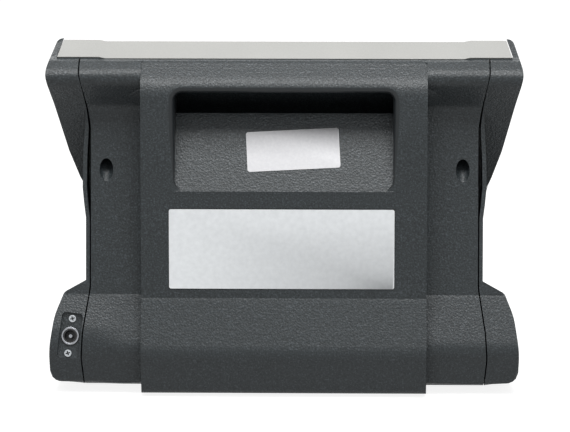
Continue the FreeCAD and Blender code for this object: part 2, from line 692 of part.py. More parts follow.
# ---------------------------------------------------------------- keys and their board
flange_top = size("panel_wall") + 0.3
for number, (label, place) in enumerate(zip(KEYS, key_places)):
    cap = plate("KeyCap%d" % number, "Sizes.key_width", "Sizes.key_height",
                "Sizes.key_proud + Sizes.panel_wall + 0.3", size("key_corner"),
                place.multiply(at(0, 0, -flange_top)))
    flange = block("KeyFlange%d" % number, "Sizes.key_width + 2 * Sizes.key_flange",
                   "Sizes.key_height + 2 * Sizes.key_flange", "Sizes.flange_thick",
                   place.multiply(at(0, 0, -flange_top - size("flange_thick"))))
    stem = block("KeyStem%d" % number, "Sizes.stem", "Sizes.stem",
                 "Sizes.board_depth - Sizes.dome_height - Sizes.key_travel - 0.3"
                 " - Sizes.panel_wall - 0.3",
                 place.multiply(at(0, 0, -(size("board_depth") - size("dome_height")
                                           - size("key_travel") - 0.3))))
    node(label, fuse("Key%d" % number, cap, flange, stem))
board_place = on_face(0, -size("key_down"), -size("board_depth") - size("board_thick"))
key_board = block("KeyBoardPlate", "%d * Sizes.key_pitch + 6" % len(KEYS),
                  "Sizes.key_height + 16", "Sizes.board_thick", board_place)
node("key_board", key_board)
node("dome_switches", group("DomeSwitches", *[
    block("Dome%d" % number, "Sizes.dome_width", "Sizes.dome_width", "Sizes.dome_height",
          place.multiply(at(0, 0, -size("board_depth"))))
    for number, place in enumerate(key_places)]))

# ---------------------------------------------------------------- feet
foot_spots = {}
for end in ("front", "back"):
    foot_spots[end] = [(half * size("foot_%s_x" % end), size("foot_%s_y" % end))
                       for half in (-1, 1)]


def foot_rods(name, end, radius, height, z):
    """The two feet at one end of the base, or their seats."""
    return [rod("%s%s%d" % (name, end.title(), number), radius, height, at(x, y, z))
            for number, (x, y) in enumerate(foot_spots[end])]


def foot_seats(end):
    """Round seats that the feet at one end are glued into."""
    return foot_rods("FootSeat", end, "Sizes.foot + 0.05", "Sizes.foot_sink + 6",
                     size("floor_z") - 6)


node("rubber_feet", group("RubberFeet", *[
    foot for end in foot_spots
    for foot in foot_rods("Foot", end, "Sizes.foot", "Sizes.floor_z + Sizes.foot_sink", 0)]))

# ---------------------------------------------------------------- rear cover
centre_slope = ("(Sizes.centre_crease_y - Sizes.centre_top_y)"
                " / (Sizes.centre_top_z - Sizes.centre_crease_z)")
centre_lean = math.degrees(math.atan(reading(centre_slope)))


def centre_y(z):
    """The flat of the centre panel at a height."""
    return "(Sizes.centre_top_y + (Sizes.centre_top_z - (%s)) * %s)" % (z, centre_slope)


foot_y = centre_y("Sizes.recess_foot_z")
floor_top = ("%s - Sizes.recess_floor * sin(Sizes.recess_lean)" % foot_y,
             "Sizes.recess_foot_z + Sizes.recess_floor * cos(Sizes.recess_lean)")
recess_side = outline("RecessSide", SIDE_VIEW, [
    ("%s + 14 * sin(Sizes.recess_lean)" % foot_y,
     "Sizes.recess_foot_z - 14 * cos(Sizes.recess_lean)"),
    floor_top,
    (floor_top[0], "Sizes.recess_top_z"),
    ("%s + 40" % foot_y, "Sizes.recess_top_z"),
    ("%s + 40" % foot_y, "Sizes.recess_foot_z - 14 * cos(Sizes.recess_lean)"),
])
pocket_line = "%s + Sizes.pocket_inset / cos(Sizes.face_lean)"
lip_back = "Sizes.centre_top_y - Sizes.lip_thick"
finger_side = outline("FingerSide", SIDE_VIEW, [
    floor_top,
    (pocket_line % face_y(floor_top[1] + " - 3"), floor_top[1] + " - 3"),
    (pocket_line % face_y("Sizes.pocket_top_z"), "Sizes.pocket_top_z"),
    (lip_back, "Sizes.pocket_top_z"),
    (lip_back, "Sizes.recess_top_z - 4"),
])
recess_outline = outline("RecessOutline", BACK_VIEW, mirrored([
    ("Sizes.recess_half", "Sizes.recess_foot_z - 0.1"),
    ("Sizes.recess_half", "Sizes.recess_top_z"),
]))
recess_corners = []
for half in (-1, 1):
    corner_x = half * size("recess_half")
    recess_corners += [(near(BACK, corner_x, size("recess_foot_z"), 1.0), 6.5),
                       (near(BACK, corner_x, size("recess_top_z"), 1.0), 9.0)]
recess_well = common("RecessWell", prism("RecessAcross", recess_side, SIDE, "Sizes.recess_half"),
                     rounded("RecessRound", prism("RecessAlong", recess_outline, BACK, "150"),
                             recess_corners))
finger_well = prism("FingerWell", finger_side, SIDE, "Sizes.pocket_half")
recess = fuse("Recess", recess_well, finger_well)
recess_block = common("RecessBlock", back_form, fuse(
    "RecessWalls",
    prism("RecessThick", grown("RecessThickSide", recess_side, "Sizes.recess_wall"), SIDE,
          "Sizes.recess_half + Sizes.recess_wall"),
    prism("FingerThick", grown("FingerThickSide", finger_side, "Sizes.recess_wall"), SIDE,
          "Sizes.pocket_half + Sizes.recess_wall")))

inner_centre_sharp = prism("InnerCentreSharp",
                           grown("InnerCentreProfile", centre_profile, "-Sizes.wall"), SIDE,
                           "Sizes.centre_half - Sizes.wall")
inner_centre = rounded("InnerCentre", inner_centre_sharp, [
    (near(SIDE, size("centre_bulge_y"), size("centre_bulge_z"), 6.0), 20.0)])
cover_hollow = fuse("CoverHollow",
                    common("CoverHollowCore", inner_core,
                           block("CoverInnerWaist", "2 * (Sizes.seam_waist_half - Sizes.wall)",
                                 "300", "Sizes.top_height + 20", at(0, 0, -10))),
                    inner_centre)
cover_shell = cut("CoverShell", common("CoverForm", back_form, cover_region), cover_hollow)
strip_slope = ("(Sizes.crease_y - (%s)) / (Sizes.neck_z - Sizes.crease_z)"
               % (roll_back_y % "Sizes.neck_z"))
screw_y = reading("Sizes.crease_y - (Sizes.screw_z - Sizes.crease_z) * %s" % strip_slope)
screw_places = []
for half in (-1, 1):
    mouth = Placement(Vector(half * size("screw_x"), screw_y, size("screw_z")),
                      Rotation(SIDE, 90 - size("screw_rise")))
    screw_places.append(mouth)
bosses = [common("Boss%d" % number, back_form,
                 rod("BossRod%d" % number, "Sizes.boss", "Sizes.screw_depth + 2.5 + 12",
                     place.multiply(at(0, 0, -12))))
          for number, place in enumerate(screw_places)]
screw_holes = [rod("ScrewHole%d" % number, "Sizes.screw_hole", "Sizes.screw_depth + 14",
                   place.multiply(at(0, 0, -14)))
               for number, place in enumerate(screw_places)]
shank_holes = [rod("ShankHole%d" % number, "1.9", "Sizes.screw_depth + 10",
                   place.multiply(at(0, 0, 0)))
               for number, place in enumerate(screw_places)]
label_place = leaning(reading(centre_y("Sizes.label_z")), size("label_z"), centre_lean,
                      size("label_x"))
label_recess = plate("LabelRecess", "Sizes.label_width + 2 * Sizes.label_margin",
                     "Sizes.label_height + 2 * Sizes.label_margin", "8", 1.9,
                     label_place.multiply(at(0, 0, -size("label_sink"))))
board_frame = leaning(reading(centre_y("Sizes.label_z")), size("label_z"), centre_lean)
board_back = -size("wall") - size("board_stand")
board_posts = [block("BoardPost%d" % number, "6", "6", "Sizes.board_stand + 1",
                     board_frame.multiply(at(x * (size("board_width") / 2 - 6),
                                             y * (size("board_height") / 2 - 6), board_back)))
               for number, (x, y) in enumerate(((-1, -1), (-1, 1), (1, -1), (1, 1)))]
node("rear_cover", cut("RearCover", fuse("CoverWhole", cover_shell, recess_block, *bosses,
                                         *board_posts),
                       recess, label_recess, *screw_holes, *shank_holes,
                       *foot_seats("back")))
node("rating_label", plate("RatingLabel", "Sizes.label_width", "Sizes.label_height",
                           "Sizes.label_thick", 1.2,
                           label_place.multiply(at(0, 0, -size("label_sink")))))
floor_place = leaning(reading(foot_y), size("recess_foot_z"), size("recess_lean"),
                      size("sticker_x"))
sticker_place = floor_place.multiply(Placement(Vector(0, size("sticker_up"), 0),
                                               Rotation(UP, size("sticker_turn"))))
node("recess_sticker", plate("RecessSticker", "Sizes.sticker_width", "Sizes.sticker_height",
                             "Sizes.sticker_thick", 1.5, sticker_place))

# ---------------------------------------------------------------- inlet
jack_place = leaning(size("jack_y"), size("jack_z"), size("jack_lean"), size("jack_x")).multiply(
    Placement(Vector(), Rotation(UP, -size("jack_turn"))))
jack_block = common("JackBlock", body,
                    plate("JackBlockPlate", "Sizes.jack_flat_width + 4",
                          "Sizes.jack_flat_height + 4", "12", 3.0,
                          jack_place.multiply(at(0, 0, -3))))
jack_recess = plate("JackRecess", "Sizes.jack_flat_width", "Sizes.jack_flat_height", "14", 2.4,
                    jack_place)
jack_hole = rod("JackHole", "Sizes.jack_bore + 0.03", "20", jack_place.multiply(at(0, 0, -14)))
jack_screw_places = [jack_place.multiply(at(0, half * size("jack_screw_pitch"), 0))
                     for half in (-1, 1)]
ring_height = 1.3
node("dc_jack_ring", cut("JackRing", rod("JackRingOut", "Sizes.jack_ring", str(ring_height),
                                         jack_place),
                         rod("JackRingIn", "Sizes.jack_bore + 0.02", "4",
                             jack_place.multiply(at(0, 0, -1)))))
node("dc_jack_body", cut("JackBody",
                         rod("JackBodyOut", "Sizes.jack_bore", "Sizes.jack_depth + 3.8",
                             jack_place.multiply(at(0, 0, -size("jack_depth") - 3))),
                         rod("JackBodyIn", "Sizes.jack_bore - 0.75", "Sizes.jack_depth + 2",
                             jack_place.multiply(at(0, 0, -size("jack_depth"))))))
node("dc_jack_pin", rod("JackPin", "Sizes.jack_pin", "Sizes.jack_depth - 2.2",
                        jack_place.multiply(at(0, 0, -size("jack_depth")))))
node("jack_screws", group("JackScrews", *[
    fuse("JackScrew%d" % number,
         rod("JackHead%d" % number, "Sizes.jack_screw", "0.9", place),
         rod("JackShank%d" % number, "1", "5.5", place.multiply(at(0, 0, -5))))
    for number, place in enumerate(jack_screw_places)]))
jack_shanks = [rod("JackShankHole%d" % number, "1.02", "9", place.multiply(at(0, 0, -6)))
               for number, place in enumerate(jack_screw_places)]

# ---------------------------------------------------------------- hose sockets
SOCKETS = 4
socket_places = [Placement(Vector((number - (SOCKETS - 1) / 2) * size("socket_pitch"),
                                  size("front_y"), size("socket_z")), BACK_VIEW)
                 for number in range(SOCKETS)]
socket_proud = 0.8
sockets = []
for number, place in enumerate(socket_places, start=1):
    back = place.multiply(at(0, 0, socket_proud - size("socket_depth")))
    cup = plate("Socket%dCup" % number, "Sizes.socket_width", "Sizes.socket_height",
                "Sizes.socket_depth", size("socket_corner"), back)
    room = block("Socket%dRoom" % number, "Sizes.socket_width - 2 * Sizes.socket_wall",
                 "Sizes.socket_height - 2 * Sizes.socket_wall", "Sizes.socket_depth",
                 back.multiply(at(0, 0, size("socket_floor"))))
    tongue = block("Socket%dTongue" % number, "Sizes.tongue_width", "Sizes.tongue_height",
                   "Sizes.tongue_length + 1",
                   back.multiply(at(0, 0, size("socket_floor") - 1)))
    sockets.append(fuse("Socket%d" % number, cut("Socket%dHollow" % number, cup, room), tongue))
node("hose_sockets", group("HoseSockets", *sockets))
socket_holes = [plate("SocketHole%d" % number, "Sizes.socket_width + 0.6",
                      "Sizes.socket_height + 0.6", "20", size("socket_corner") + 0.3,
                      place.multiply(at(0, 0, -10)))
                for number, place in enumerate(socket_places)]

# ---------------------------------------------------------------- front housing
rail = block("Rail", "2 * (Sizes.wing_half - Sizes.rim - Sizes.ledge + 1.5)",
             "Sizes.rail_width", "Sizes.rail_thick",
             on_face(0, -size("wall") - 0.6 - size("rail_width") / 2,
                     -size("panel_depth") - size("joint_gap") - size("rail_thick")))
pillars = []
for number, place in enumerate(screw_places):
    start = size("screw_depth") + 2.5 + 0.3
    pillars.append(block("Pillar%d" % number, "9", "9", "11", place.multiply(at(0, 0, start))))
    outwards = 9.0 if place.Base.x > 0 else -9.0
    pillars.append(block("PillarWeb%d" % number, "22", "7", "7",
                         place.multiply(at(outwards, 0, start))))
pilots = [rod("Pilot%d" % number, "1.75", "20", place.multiply(at(0, 0, size("screw_depth"))))
          for number, place in enumerate(screw_places)]
housing_shell = cut("HousingShell", body, cover_room, face_pocket, wing_hollow, core_hollow,
                    *flank_hollows)
supports = cut("Supports", fuse("SupportsWhole", *pillars), cover_room)
inlet_block = cut("InletBlock", jack_block, cover_room)
housing_whole = fuse("HousingWhole", housing_shell, inlet_block, rail, supports)
node("front_housing", cut("FrontHousing", housing_whole, jack_recess, jack_hole, *jack_shanks,
                          *socket_holes, *pilots, *foot_seats("front")))
node("cover_screws", group("CoverScrews", *[
    fuse("CoverScrew%d" % number,
         rod("CoverScrewHead%d" % number, "3.4", "2.6",
             place.multiply(at(0, 0, size("screw_depth") - 2.6))),
         rod("CoverScrewShank%d" % number, "1.73", "12",
             place.multiply(at(0, 0, size("screw_depth") - 0.5))))
    for number, place in enumerate(screw_places)]))

# ---------------------------------------------------------------- pump on its chassis
inside_floor = size("floor_z") + size("wall")
chassis_z = inside_floor + size("mount_height")
deck_z = chassis_z + size("chassis_thick")
mount_spots = [(x * (size("chassis_width") / 2 - 10), size("chassis_y")
                + y * (size("chassis_length") / 2 - 9)) for x in (-1, 1) for y in (-1, 1)]
node("chassis_mounts", group("ChassisMounts", *[
    block("ChassisMount%d" % number, "10", "10", "Sizes.mount_height", at(x, y, inside_floor))
    for number, (x, y) in enumerate(mount_spots)]))
node("pump_chassis", block("PumpChassis", "Sizes.chassis_width", "Sizes.chassis_length",
                           "Sizes.chassis_thick", at(0, size("chassis_y"), chassis_z)))

ALONG_X = Rotation(BACK, 90)
motor_start = size("motor_x") - size("motor_length") / 2


def on_shaft(x, rise=0.0):
    """Placement on the shaft's axis, looking along +X."""
    return Placement(Vector(x, size("chassis_y"), size("motor_z") + rise), ALONG_X)


motor_can = rod("MotorCan", "Sizes.motor", "Sizes.motor_length", on_shaft(motor_start))
cradle = block("Cradle", "Sizes.motor_length - 16", "Sizes.motor * 1.4",
               "Sizes.motor_z - %s" % deck_z, at(size("motor_x"), size("chassis_y"), deck_z))
shaft_bore = rod("ShaftBore", "Sizes.shaft + Sizes.running_gap", "Sizes.shaft_seat + 6",
                 on_shaft(motor_start - 6))
node("pump_motor", cut("PumpMotor", fuse("MotorWhole", motor_can, cradle), shaft_bore))
crank_end = motor_start - 1.0
crank_start = crank_end - size("crank_length")
node("motor_shaft", rod("MotorShaft", "Sizes.shaft",
                        "Sizes.shaft_seat + 1 + Sizes.crank_length - 6 - 0.4",
                        on_shaft(crank_start + 6)))
node("eccentric", cut("Eccentric",
                      rod("EccentricOut", "Sizes.eccentric", "9",
                          on_shaft(crank_start + 12, size("throw"))),
                      rod("EccentricIn", "Sizes.shaft", "60", on_shaft(crank_start))))
crank_middle = (crank_start + crank_end) / 2
crank_box = block("CrankBox", "Sizes.crank_length", "Sizes.crank_width",
                  "2 * (Sizes.motor_z - %s)" % deck_z,
                  at(crank_middle, size("chassis_y"), deck_z))
crank_room = block("CrankRoom", "Sizes.crank_length - 2 * Sizes.crank_wall",
                   "Sizes.crank_width - 2 * Sizes.crank_wall",
                   "2 * (Sizes.motor_z - %s - Sizes.crank_wall)" % deck_z,
                   at(crank_middle, size("chassis_y"), deck_z + size("crank_wall")))
crank_hole = rod("CrankHole", "Sizes.shaft + 0.6", "20", on_shaft(crank_end - 10))
node("crank_case", cut("CrankCase", crank_box, crank_room, crank_hole))
heads = []
for number, half in enumerate((-1, 1)):
    head_y = size("chassis_y") + half * (size("crank_width") + size("head_height")) / 2
    head = block("Head%d" % number, "Sizes.crank_length - 4", "Sizes.head_height",
                 "Sizes.crank_length - 4",
                 at(crank_middle, head_y, size("motor_z") - size("crank_length") / 2 + 2))
    heads.append(head)
node("pump_heads", group("PumpHeads", *heads))
crank_top = 2 * size("motor_z") - deck_z
node("inlet_muffler", rod("InletMuffler", "9", "24",
                          at(crank_middle, size("chassis_y"), crank_top)))

# ---------------------------------------------------------------- valves
socket_back = size("front_y") - socket_proud + size("socket_depth")
manifold_y = socket_back + 0.3 + size("manifold_thick") / 2
manifold_top = inside_floor + 0.1 + size("manifold_height")
node("valve_manifold", block("ValveManifold", "3 * Sizes.socket_pitch + Sizes.socket_width - 8",
                             "Sizes.manifold_thick", "Sizes.manifold_height",
                             at(0, manifold_y, inside_floor + 0.1)))
VALVES = 8
node("solenoid_valves", group("SolenoidValves", *[
    block("Valve%d" % number, "Sizes.valve", "Sizes.valve", "Sizes.valve_length",
          at((number - (VALVES - 1) / 2) * size("valve_pitch"), manifold_y, manifold_top))
    for number in range(VALVES)]))

# ---------------------------------------------------------------- circuit board
node("main_board", block("MainBoard", "Sizes.board_width", "Sizes.board_height",
                         "Sizes.board_thick",
                         board_frame.multiply(at(0, 0, board_back - size("board_thick")))))
face_of_board = board_back - size("board_thick")
chips = [("22", "22", "2", -40, 6), ("14", "14", "1.6", -8, -8), ("30", "9", "7", 30, 14),
         ("9", "26", "8", 62, -2), ("12", "10", "3", 20, -12)]
node("board_components", group("BoardComponents", *[
    block("Chip%d" % number, length, width, height,
          board_frame.multiply(at(x, y, face_of_board - float(height))))
    for number, (length, width, height, x, y) in enumerate(chips)]))
node("buzzer", block("Buzzer", "12", "12", "6.5", board_frame.multiply(at(-64, 12, face_of_board - 6.5))))
node("pressure_sensor", fuse("PressureSensor",
                             block("SensorBody", "10", "10", "5",
                                   board_frame.multiply(at(-62, -14, face_of_board - 5))),
                             rod("SensorPort", "1.6", "7",
                                 board_frame.multiply(at(-62, -14, face_of_board - 11)))))

for feature in doc.Objects:
    if "Invalid" in feature.State or "Error" in feature.State:
        raise RuntimeError("%s could not be worked out" % feature.Name)

os.makedirs("parts", exist_ok=True)
for feature in NODES:
    shape = feature.Shape
    if shape.isNull() or not shape.isValid():
        raise RuntimeError("%s has no sound shape" % feature.Label)
    shape.exportStep("parts/%s.step" % feature.Label)
    print("%-18s %3d solids %9.0f mm3" % (feature.Label, len(shape.Solids), shape.Volume))
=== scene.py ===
# %% [markdown]
# # A table-top pump for compression garments
# The pump is a small air machine that stands on a table and blows up sleeves and leggings. Its
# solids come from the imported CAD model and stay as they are. This lesson gives every surface its
# finish, lets fuller and rounder copies stand in for the outer mouldings and adds the small
# pieces that the solids leave out. Lengths are metres, Z is up, the sloping face looks to -Y and
# the back, with its carrying recess, looks to +Y.

import math

import bpy
from mathutils import Matrix, Vector


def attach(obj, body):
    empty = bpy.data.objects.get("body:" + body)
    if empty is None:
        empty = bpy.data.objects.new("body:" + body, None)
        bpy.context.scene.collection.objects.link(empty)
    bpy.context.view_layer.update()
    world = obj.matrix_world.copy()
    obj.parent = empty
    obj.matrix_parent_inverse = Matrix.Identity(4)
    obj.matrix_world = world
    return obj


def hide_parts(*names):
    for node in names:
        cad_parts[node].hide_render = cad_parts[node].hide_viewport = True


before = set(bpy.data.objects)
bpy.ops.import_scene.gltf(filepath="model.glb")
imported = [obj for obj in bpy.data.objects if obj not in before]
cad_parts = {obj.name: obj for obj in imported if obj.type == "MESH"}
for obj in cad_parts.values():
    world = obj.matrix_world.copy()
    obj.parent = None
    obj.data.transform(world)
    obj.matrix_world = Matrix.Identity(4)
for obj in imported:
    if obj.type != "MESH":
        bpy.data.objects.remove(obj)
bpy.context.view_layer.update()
MM = 0.001

# %% [markdown]
# ## Colours and nodes
# A screen colour such as #4B5053 is stored with a curve on it. Blender mixes light without that
# curve, so one function takes it off. A second small function adds a shader node, sets it up
# and joins it to the nodes before it: every material below is made with these two.

# %% Colour and node helpers


def linear(hex_colour):
    """A screen colour as Blender's linear red, green, blue and alpha."""
    parts = [int(hex_colour[place:place + 2], 16) / 255 for place in (1, 3, 5)]
    curve = [part / 12.92 if part <= 0.04045 else ((part + 0.055) / 1.055) ** 2.4
             for part in parts]
    return (*curve, 1.0)


def add_node(tree, kind, inputs=None, **settings):
    """A shader node; its inputs take a number, a colour or another node's output."""
    node = tree.nodes.new(kind)
    for name, value in settings.items():
        setattr(node, name, value)
    for name, value in (inputs or {}).items():
        if isinstance(value, bpy.types.NodeSocket):
            tree.links.new(value, node.inputs[name])
        else:
            node.inputs[name].default_value = value
    return node


def new_finish(name):
    """An empty material, its node tree and its surface shader."""
    material = bpy.data.materials.new(name)
    material.use_nodes = True
    return material, material.node_tree, material.node_tree.nodes["Principled BSDF"]


def set_ramp(node, stops):
    """Colour stops of a ramp: pairs of a place from 0 to 1 and a screen colour."""
    ramp = node.color_ramp
    while len(ramp.elements) < len(stops):
        ramp.elements.new(0.5)
    for element, (place, hex_colour) in zip(ramp.elements, stops):
        element.position = place
        element.color = linear(hex_colour)
    return node


# %% [markdown]
# ## Moulded plastics
# The housing is ABS, moulded in a steel tool whose surface was spark-eroded to a coarse grain.
# Light catches the tiny flat bottoms of that grain, so a real housing sparkles a little. The
# grain is a bump, because no eye can tell it from real pits at this size, and the same noise
# that makes the pits also speckles the colour. Its pitch on the housing is just under a
# millimetre. The pale face panel and the keys come from smoother tools.

# %% Moulded plastic finishes
CLOUD_PATCH = 40 * MM
ABS_IOR = 1.53


def moulded_plastic(name, body, pits, tips, pitch, depth, roughness, specular=0.5):
    """ABS from a grained tool: body, pit and tip colours, and the grain's pitch and depth."""
    material, tree, shader = new_finish(name)
    place = add_node(tree, "ShaderNodeTexCoord")
    grain = add_node(tree, "ShaderNodeTexNoise",
                     {"Vector": place.outputs["Object"], "Scale": 1 / pitch, "Detail": 3.0,
                      "Roughness": 0.62})
    cells = add_node(tree, "ShaderNodeTexVoronoi",
                     {"Vector": place.outputs["Object"], "Scale": 0.8 / pitch})
    clouds = add_node(tree, "ShaderNodeTexNoise",
                      {"Vector": place.outputs["Object"], "Scale": 1 / CLOUD_PATCH, "Detail": 2.0})
    speckle = set_ramp(add_node(tree, "ShaderNodeValToRGB", {"Fac": grain.outputs["Fac"]}),
                       [(0.36, pits), (0.47, body), (0.54, body), (0.66, tips)])
    drift = add_node(tree, "ShaderNodeMapRange",
                     {"Value": clouds.outputs["Fac"], "To Min": 0.92, "To Max": 1.08})
    colour = add_node(tree, "ShaderNodeHueSaturation",
                      {"Value": drift.outputs["Result"], "Color": speckle.outputs["Color"]})
    height = add_node(tree, "ShaderNodeMath",
                      {0: grain.outputs["Fac"], 1: cells.outputs["Distance"]},
                      operation="ADD")
    bump = add_node(tree, "ShaderNodeBump",
                    {"Height": height.outputs["Value"], "Distance": depth, "Strength": 1.0})
    gloss = add_node(tree, "ShaderNodeMapRange",
                     {"Value": grain.outputs["Fac"], "From Min": 0.3, "From Max": 0.7,
                      "To Min": roughness + 0.08, "To Max": roughness - 0.10})
    tree.links.new(colour.outputs["Color"], shader.inputs["Base Color"])
    tree.links.new(gloss.outputs["Result"], shader.inputs["Roughness"])
    tree.links.new(bump.outputs["Normal"], shader.inputs["Normal"])
    shader.inputs["IOR"].default_value = ABS_IOR
    shader.inputs["Specular IOR Level"].default_value = specular
    return material


# Spark-eroded slate ABS: dull from afar, sparkling close by.
slate_abs = moulded_plastic("spark_eroded_slate_abs", "#292E30", "#1D2123", "#40464A",
                            1.0 * MM, 0.16 * MM, 0.42, 0.30)
# The recess's lip is polished in the tool, so it is smooth; its darker colour is painted shade.
polished_shaded_abs = moulded_plastic("tool_polished_slate_abs_painted_shade", "#1E2224", "#1C2022", "#212527",
                               0.5 * MM, 0.006 * MM, 0.38, 0.30)
# Fine-textured pale ABS: a soft even sheen.
pale_abs = moulded_plastic("fine_grained_pale_abs", "#9F9F9C", "#9A9A97", "#A4A4A1",
                           0.5 * MM, 0.012 * MM, 0.42)
# Satin ABS of the keys, darker and smoother than the housing.
key_abs = moulded_plastic("satin_key_abs", "#3A4248", "#363D43", "#424A50",
                          0.4 * MM, 0.008 * MM, 0.38)
start_abs = moulded_plastic("satin_green_key_abs", "#2F7F5C", "#2B7655", "#358A64",
                            0.4 * MM, 0.008 * MM, 0.38)
# Glass-filled nylon of the hose sockets: dark, tough, slightly mottled.
socket_nylon = moulded_plastic("glass_filled_nylon", "#25282A", "#1F2224", "#33373A",
                               0.7 * MM, 0.02 * MM, 0.40)
# Black phenolic of the inlet: smooth and deep.
inlet_phenolic = moulded_plastic("moulded_black_phenolic", "#0C0C0D", "#0A0A0B", "#111113",
                                 0.3 * MM, 0.004 * MM, 0.30)
# Pale nylon of the air parts inside.
air_nylon = moulded_plastic("moulded_pale_nylon", "#9B9DA0", "#939598", "#A6A8AB",
                            0.6 * MM, 0.01 * MM, 0.45)
component_epoxy = moulded_plastic("moulded_black_epoxy", "#17181A", "#131415", "#202224",
                                  0.4 * MM, 0.01 * MM, 0.45)
print("moulded plastics:", [material.name for material in bpy.data.materials])

# %% [markdown]
# ## Films, metals, rubber and glass
# The rating plate is a metallised polyester film: silvery, very slightly cloudy and smooth. The
# sticker is plain coated paper. The inlet's ring is nickel on brass, turned on a lathe, so fine
# rings run round it; the screws are zinc plated steel. The feet are matt nitrile rubber and the
# window is smoked acrylic over a liquid-crystal panel.

# %% Film, paper, metal, rubber and glass finishes
CLOUD_RELIEF = 0.004 * MM


def clouded_finish(name, dark, light, patch, roughness, metallic=0.0):
    """A finish that varies softly between two colours over patches of a real size."""
    material, tree, shader = new_finish(name)
    place = add_node(tree, "ShaderNodeTexCoord")
    clouds = add_node(tree, "ShaderNodeTexNoise",
                      {"Vector": place.outputs["Object"], "Scale": 1 / patch, "Detail": 4.0})
    tint = set_ramp(add_node(tree, "ShaderNodeValToRGB", {"Fac": clouds.outputs["Fac"]}),
                    [(0.3, dark), (0.7, light)])
    gloss = add_node(tree, "ShaderNodeMapRange",
                     {"Value": clouds.outputs["Fac"], "To Min": roughness - 0.06,
                      "To Max": roughness + 0.06})
    bump = add_node(tree, "ShaderNodeBump", {"Height": clouds.outputs["Fac"],
                                             "Distance": CLOUD_RELIEF, "Strength": 0.6})
    tree.links.new(tint.outputs["Color"], shader.inputs["Base Color"])
    tree.links.new(gloss.outputs["Result"], shader.inputs["Roughness"])
    tree.links.new(bump.outputs["Normal"], shader.inputs["Normal"])
    shader.inputs["Metallic"].default_value = metallic
    return material


silver_film = clouded_finish("metallised_polyester_film", "#DADDDF", "#E3E6E8", 3 * MM, 0.34, 0.4)
coated_paper = clouded_finish("coated_label_paper", "#C2C2C5", "#CBCBCD", 1.5 * MM, 0.55)
turned_nickel = clouded_finish("turned_nickel_plate", "#85878B", "#9B9DA1", 0.6 * MM, 0.26, 1.0)
key_ink = clouded_finish("pad_printed_pale_ink", "#C3C7CA", "#D2D6D8", 0.5 * MM, 0.50)
zinc_steel = clouded_finish("zinc_plated_steel", "#9FA3A6", "#B9BDC0", 0.8 * MM, 0.30, 1.0)
# Dark grey for the screws' cross recesses: painted shade inside the recess.
shaded_driver_recess = clouded_finish("painted_shade_driver_recess", "#35373A", "#44474A", 0.4 * MM, 0.55, 0.3)
drawn_steel = clouded_finish("drawn_steel", "#84888B", "#95999C", 4 * MM, 0.38, 1.0)
cast_aluminium = clouded_finish("die_cast_aluminium", "#9EA1A4", "#B0B3B5", 1.2 * MM, 0.46, 1.0)
nitrile_rubber = clouded_finish("matt_nitrile_rubber", "#131415", "#1B1C1D", 1.0 * MM, 0.72)
solder_mask = clouded_finish("green_solder_mask", "#0F4A2B", "#146036", 2 * MM, 0.35)
lcd_panel = clouded_finish("liquid_crystal_panel", "#5C6B66", "#64736E", 8 * MM, 0.20)
smoked_acrylic = clouded_finish("smoked_acrylic", "#0E1113", "#121618", 30 * MM, 0.12)
smoked_acrylic.node_tree.nodes["Principled BSDF"].inputs["Coat Weight"].default_value = 0.6
print("all finishes:", len(bpy.data.materials))

# %% [markdown]
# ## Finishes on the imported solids
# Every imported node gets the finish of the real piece. A dictionary pairs them, so that a reader
# can see at a glance what each piece of the pump is made of.

# %% Dress the nodes
NODE_FINISH = {
    "front_housing": slate_abs, "rear_cover": slate_abs, "face_panel": pale_abs,
    "display_window": smoked_acrylic, "lcd_module": lcd_panel,
    "power_key": key_abs, "left_key": key_abs, "down_key": key_abs, "up_key": key_abs,
    "right_key": key_abs, "start_key": start_abs,
    "key_board": solder_mask, "dome_switches": component_epoxy,
    "rubber_feet": nitrile_rubber, "rating_label": silver_film, "recess_sticker": coated_paper,
    "dc_jack_ring": turned_nickel, "dc_jack_body": inlet_phenolic, "dc_jack_pin": turned_nickel,
    "jack_screws": zinc_steel, "cover_screws": zinc_steel, "hose_sockets": socket_nylon,
    "chassis_mounts": nitrile_rubber, "pump_chassis": drawn_steel, "pump_motor": drawn_steel,
    "motor_shaft": drawn_steel, "eccentric": cast_aluminium, "crank_case": cast_aluminium,
    "pump_heads": cast_aluminium, "inlet_muffler": air_nylon, "valve_manifold": air_nylon,
    "solenoid_valves": drawn_steel, "main_board": solder_mask,
    "board_components": component_epoxy, "buzzer": component_epoxy,
    "pressure_sensor": component_epoxy,
}
for name, cad_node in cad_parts.items():
    cad_node.data.materials.clear()
    cad_node.data.materials.append(NODE_FINISH[name])
print("dressed nodes:", len(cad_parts))

# %% [markdown]
# ## Rounding the moulded edges
# No moulded edge is sharp: the tool's own radius leaves a fine bright line along it. The packed
# mesh is made of loose triangles, so a copy is merged, its flat triangles are joined into whole
# faces and a bevel rounds what is left. The copy then stands in for the node.

# %% Helpers that copy and round a node
MERGE_REACH = 0.002 * MM
FLAT_TURN = math.radians(0.4)
SMOOTH_TURN = math.radians(38)


def deselect_all():
    """Nothing selected, in object mode."""
    if bpy.context.object and bpy.context.object.mode != "OBJECT":
        bpy.ops.object.mode_set(mode="OBJECT")
    bpy.ops.object.select_all(action="DESELECT")


def activate(piece):
    """Make one piece the only selected and active one."""
    deselect_all()
    piece.select_set(True)
    bpy.context.view_layer.objects.active = piece


def copy_of(node_name, piece_name):
    """A merged copy of a node, free of its body, with whole flat faces."""
    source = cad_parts[node_name]
    piece = bpy.data.objects.new(piece_name, source.data.copy())
    bpy.context.collection.objects.link(piece)
    activate(piece)
    bpy.ops.object.mode_set(mode="EDIT")
    bpy.ops.mesh.select_all(action="SELECT")
    bpy.ops.mesh.remove_doubles(threshold=MERGE_REACH)
    bpy.ops.mesh.dissolve_limited(angle_limit=FLAT_TURN)
    bpy.ops.object.mode_set(mode="OBJECT")
    return piece


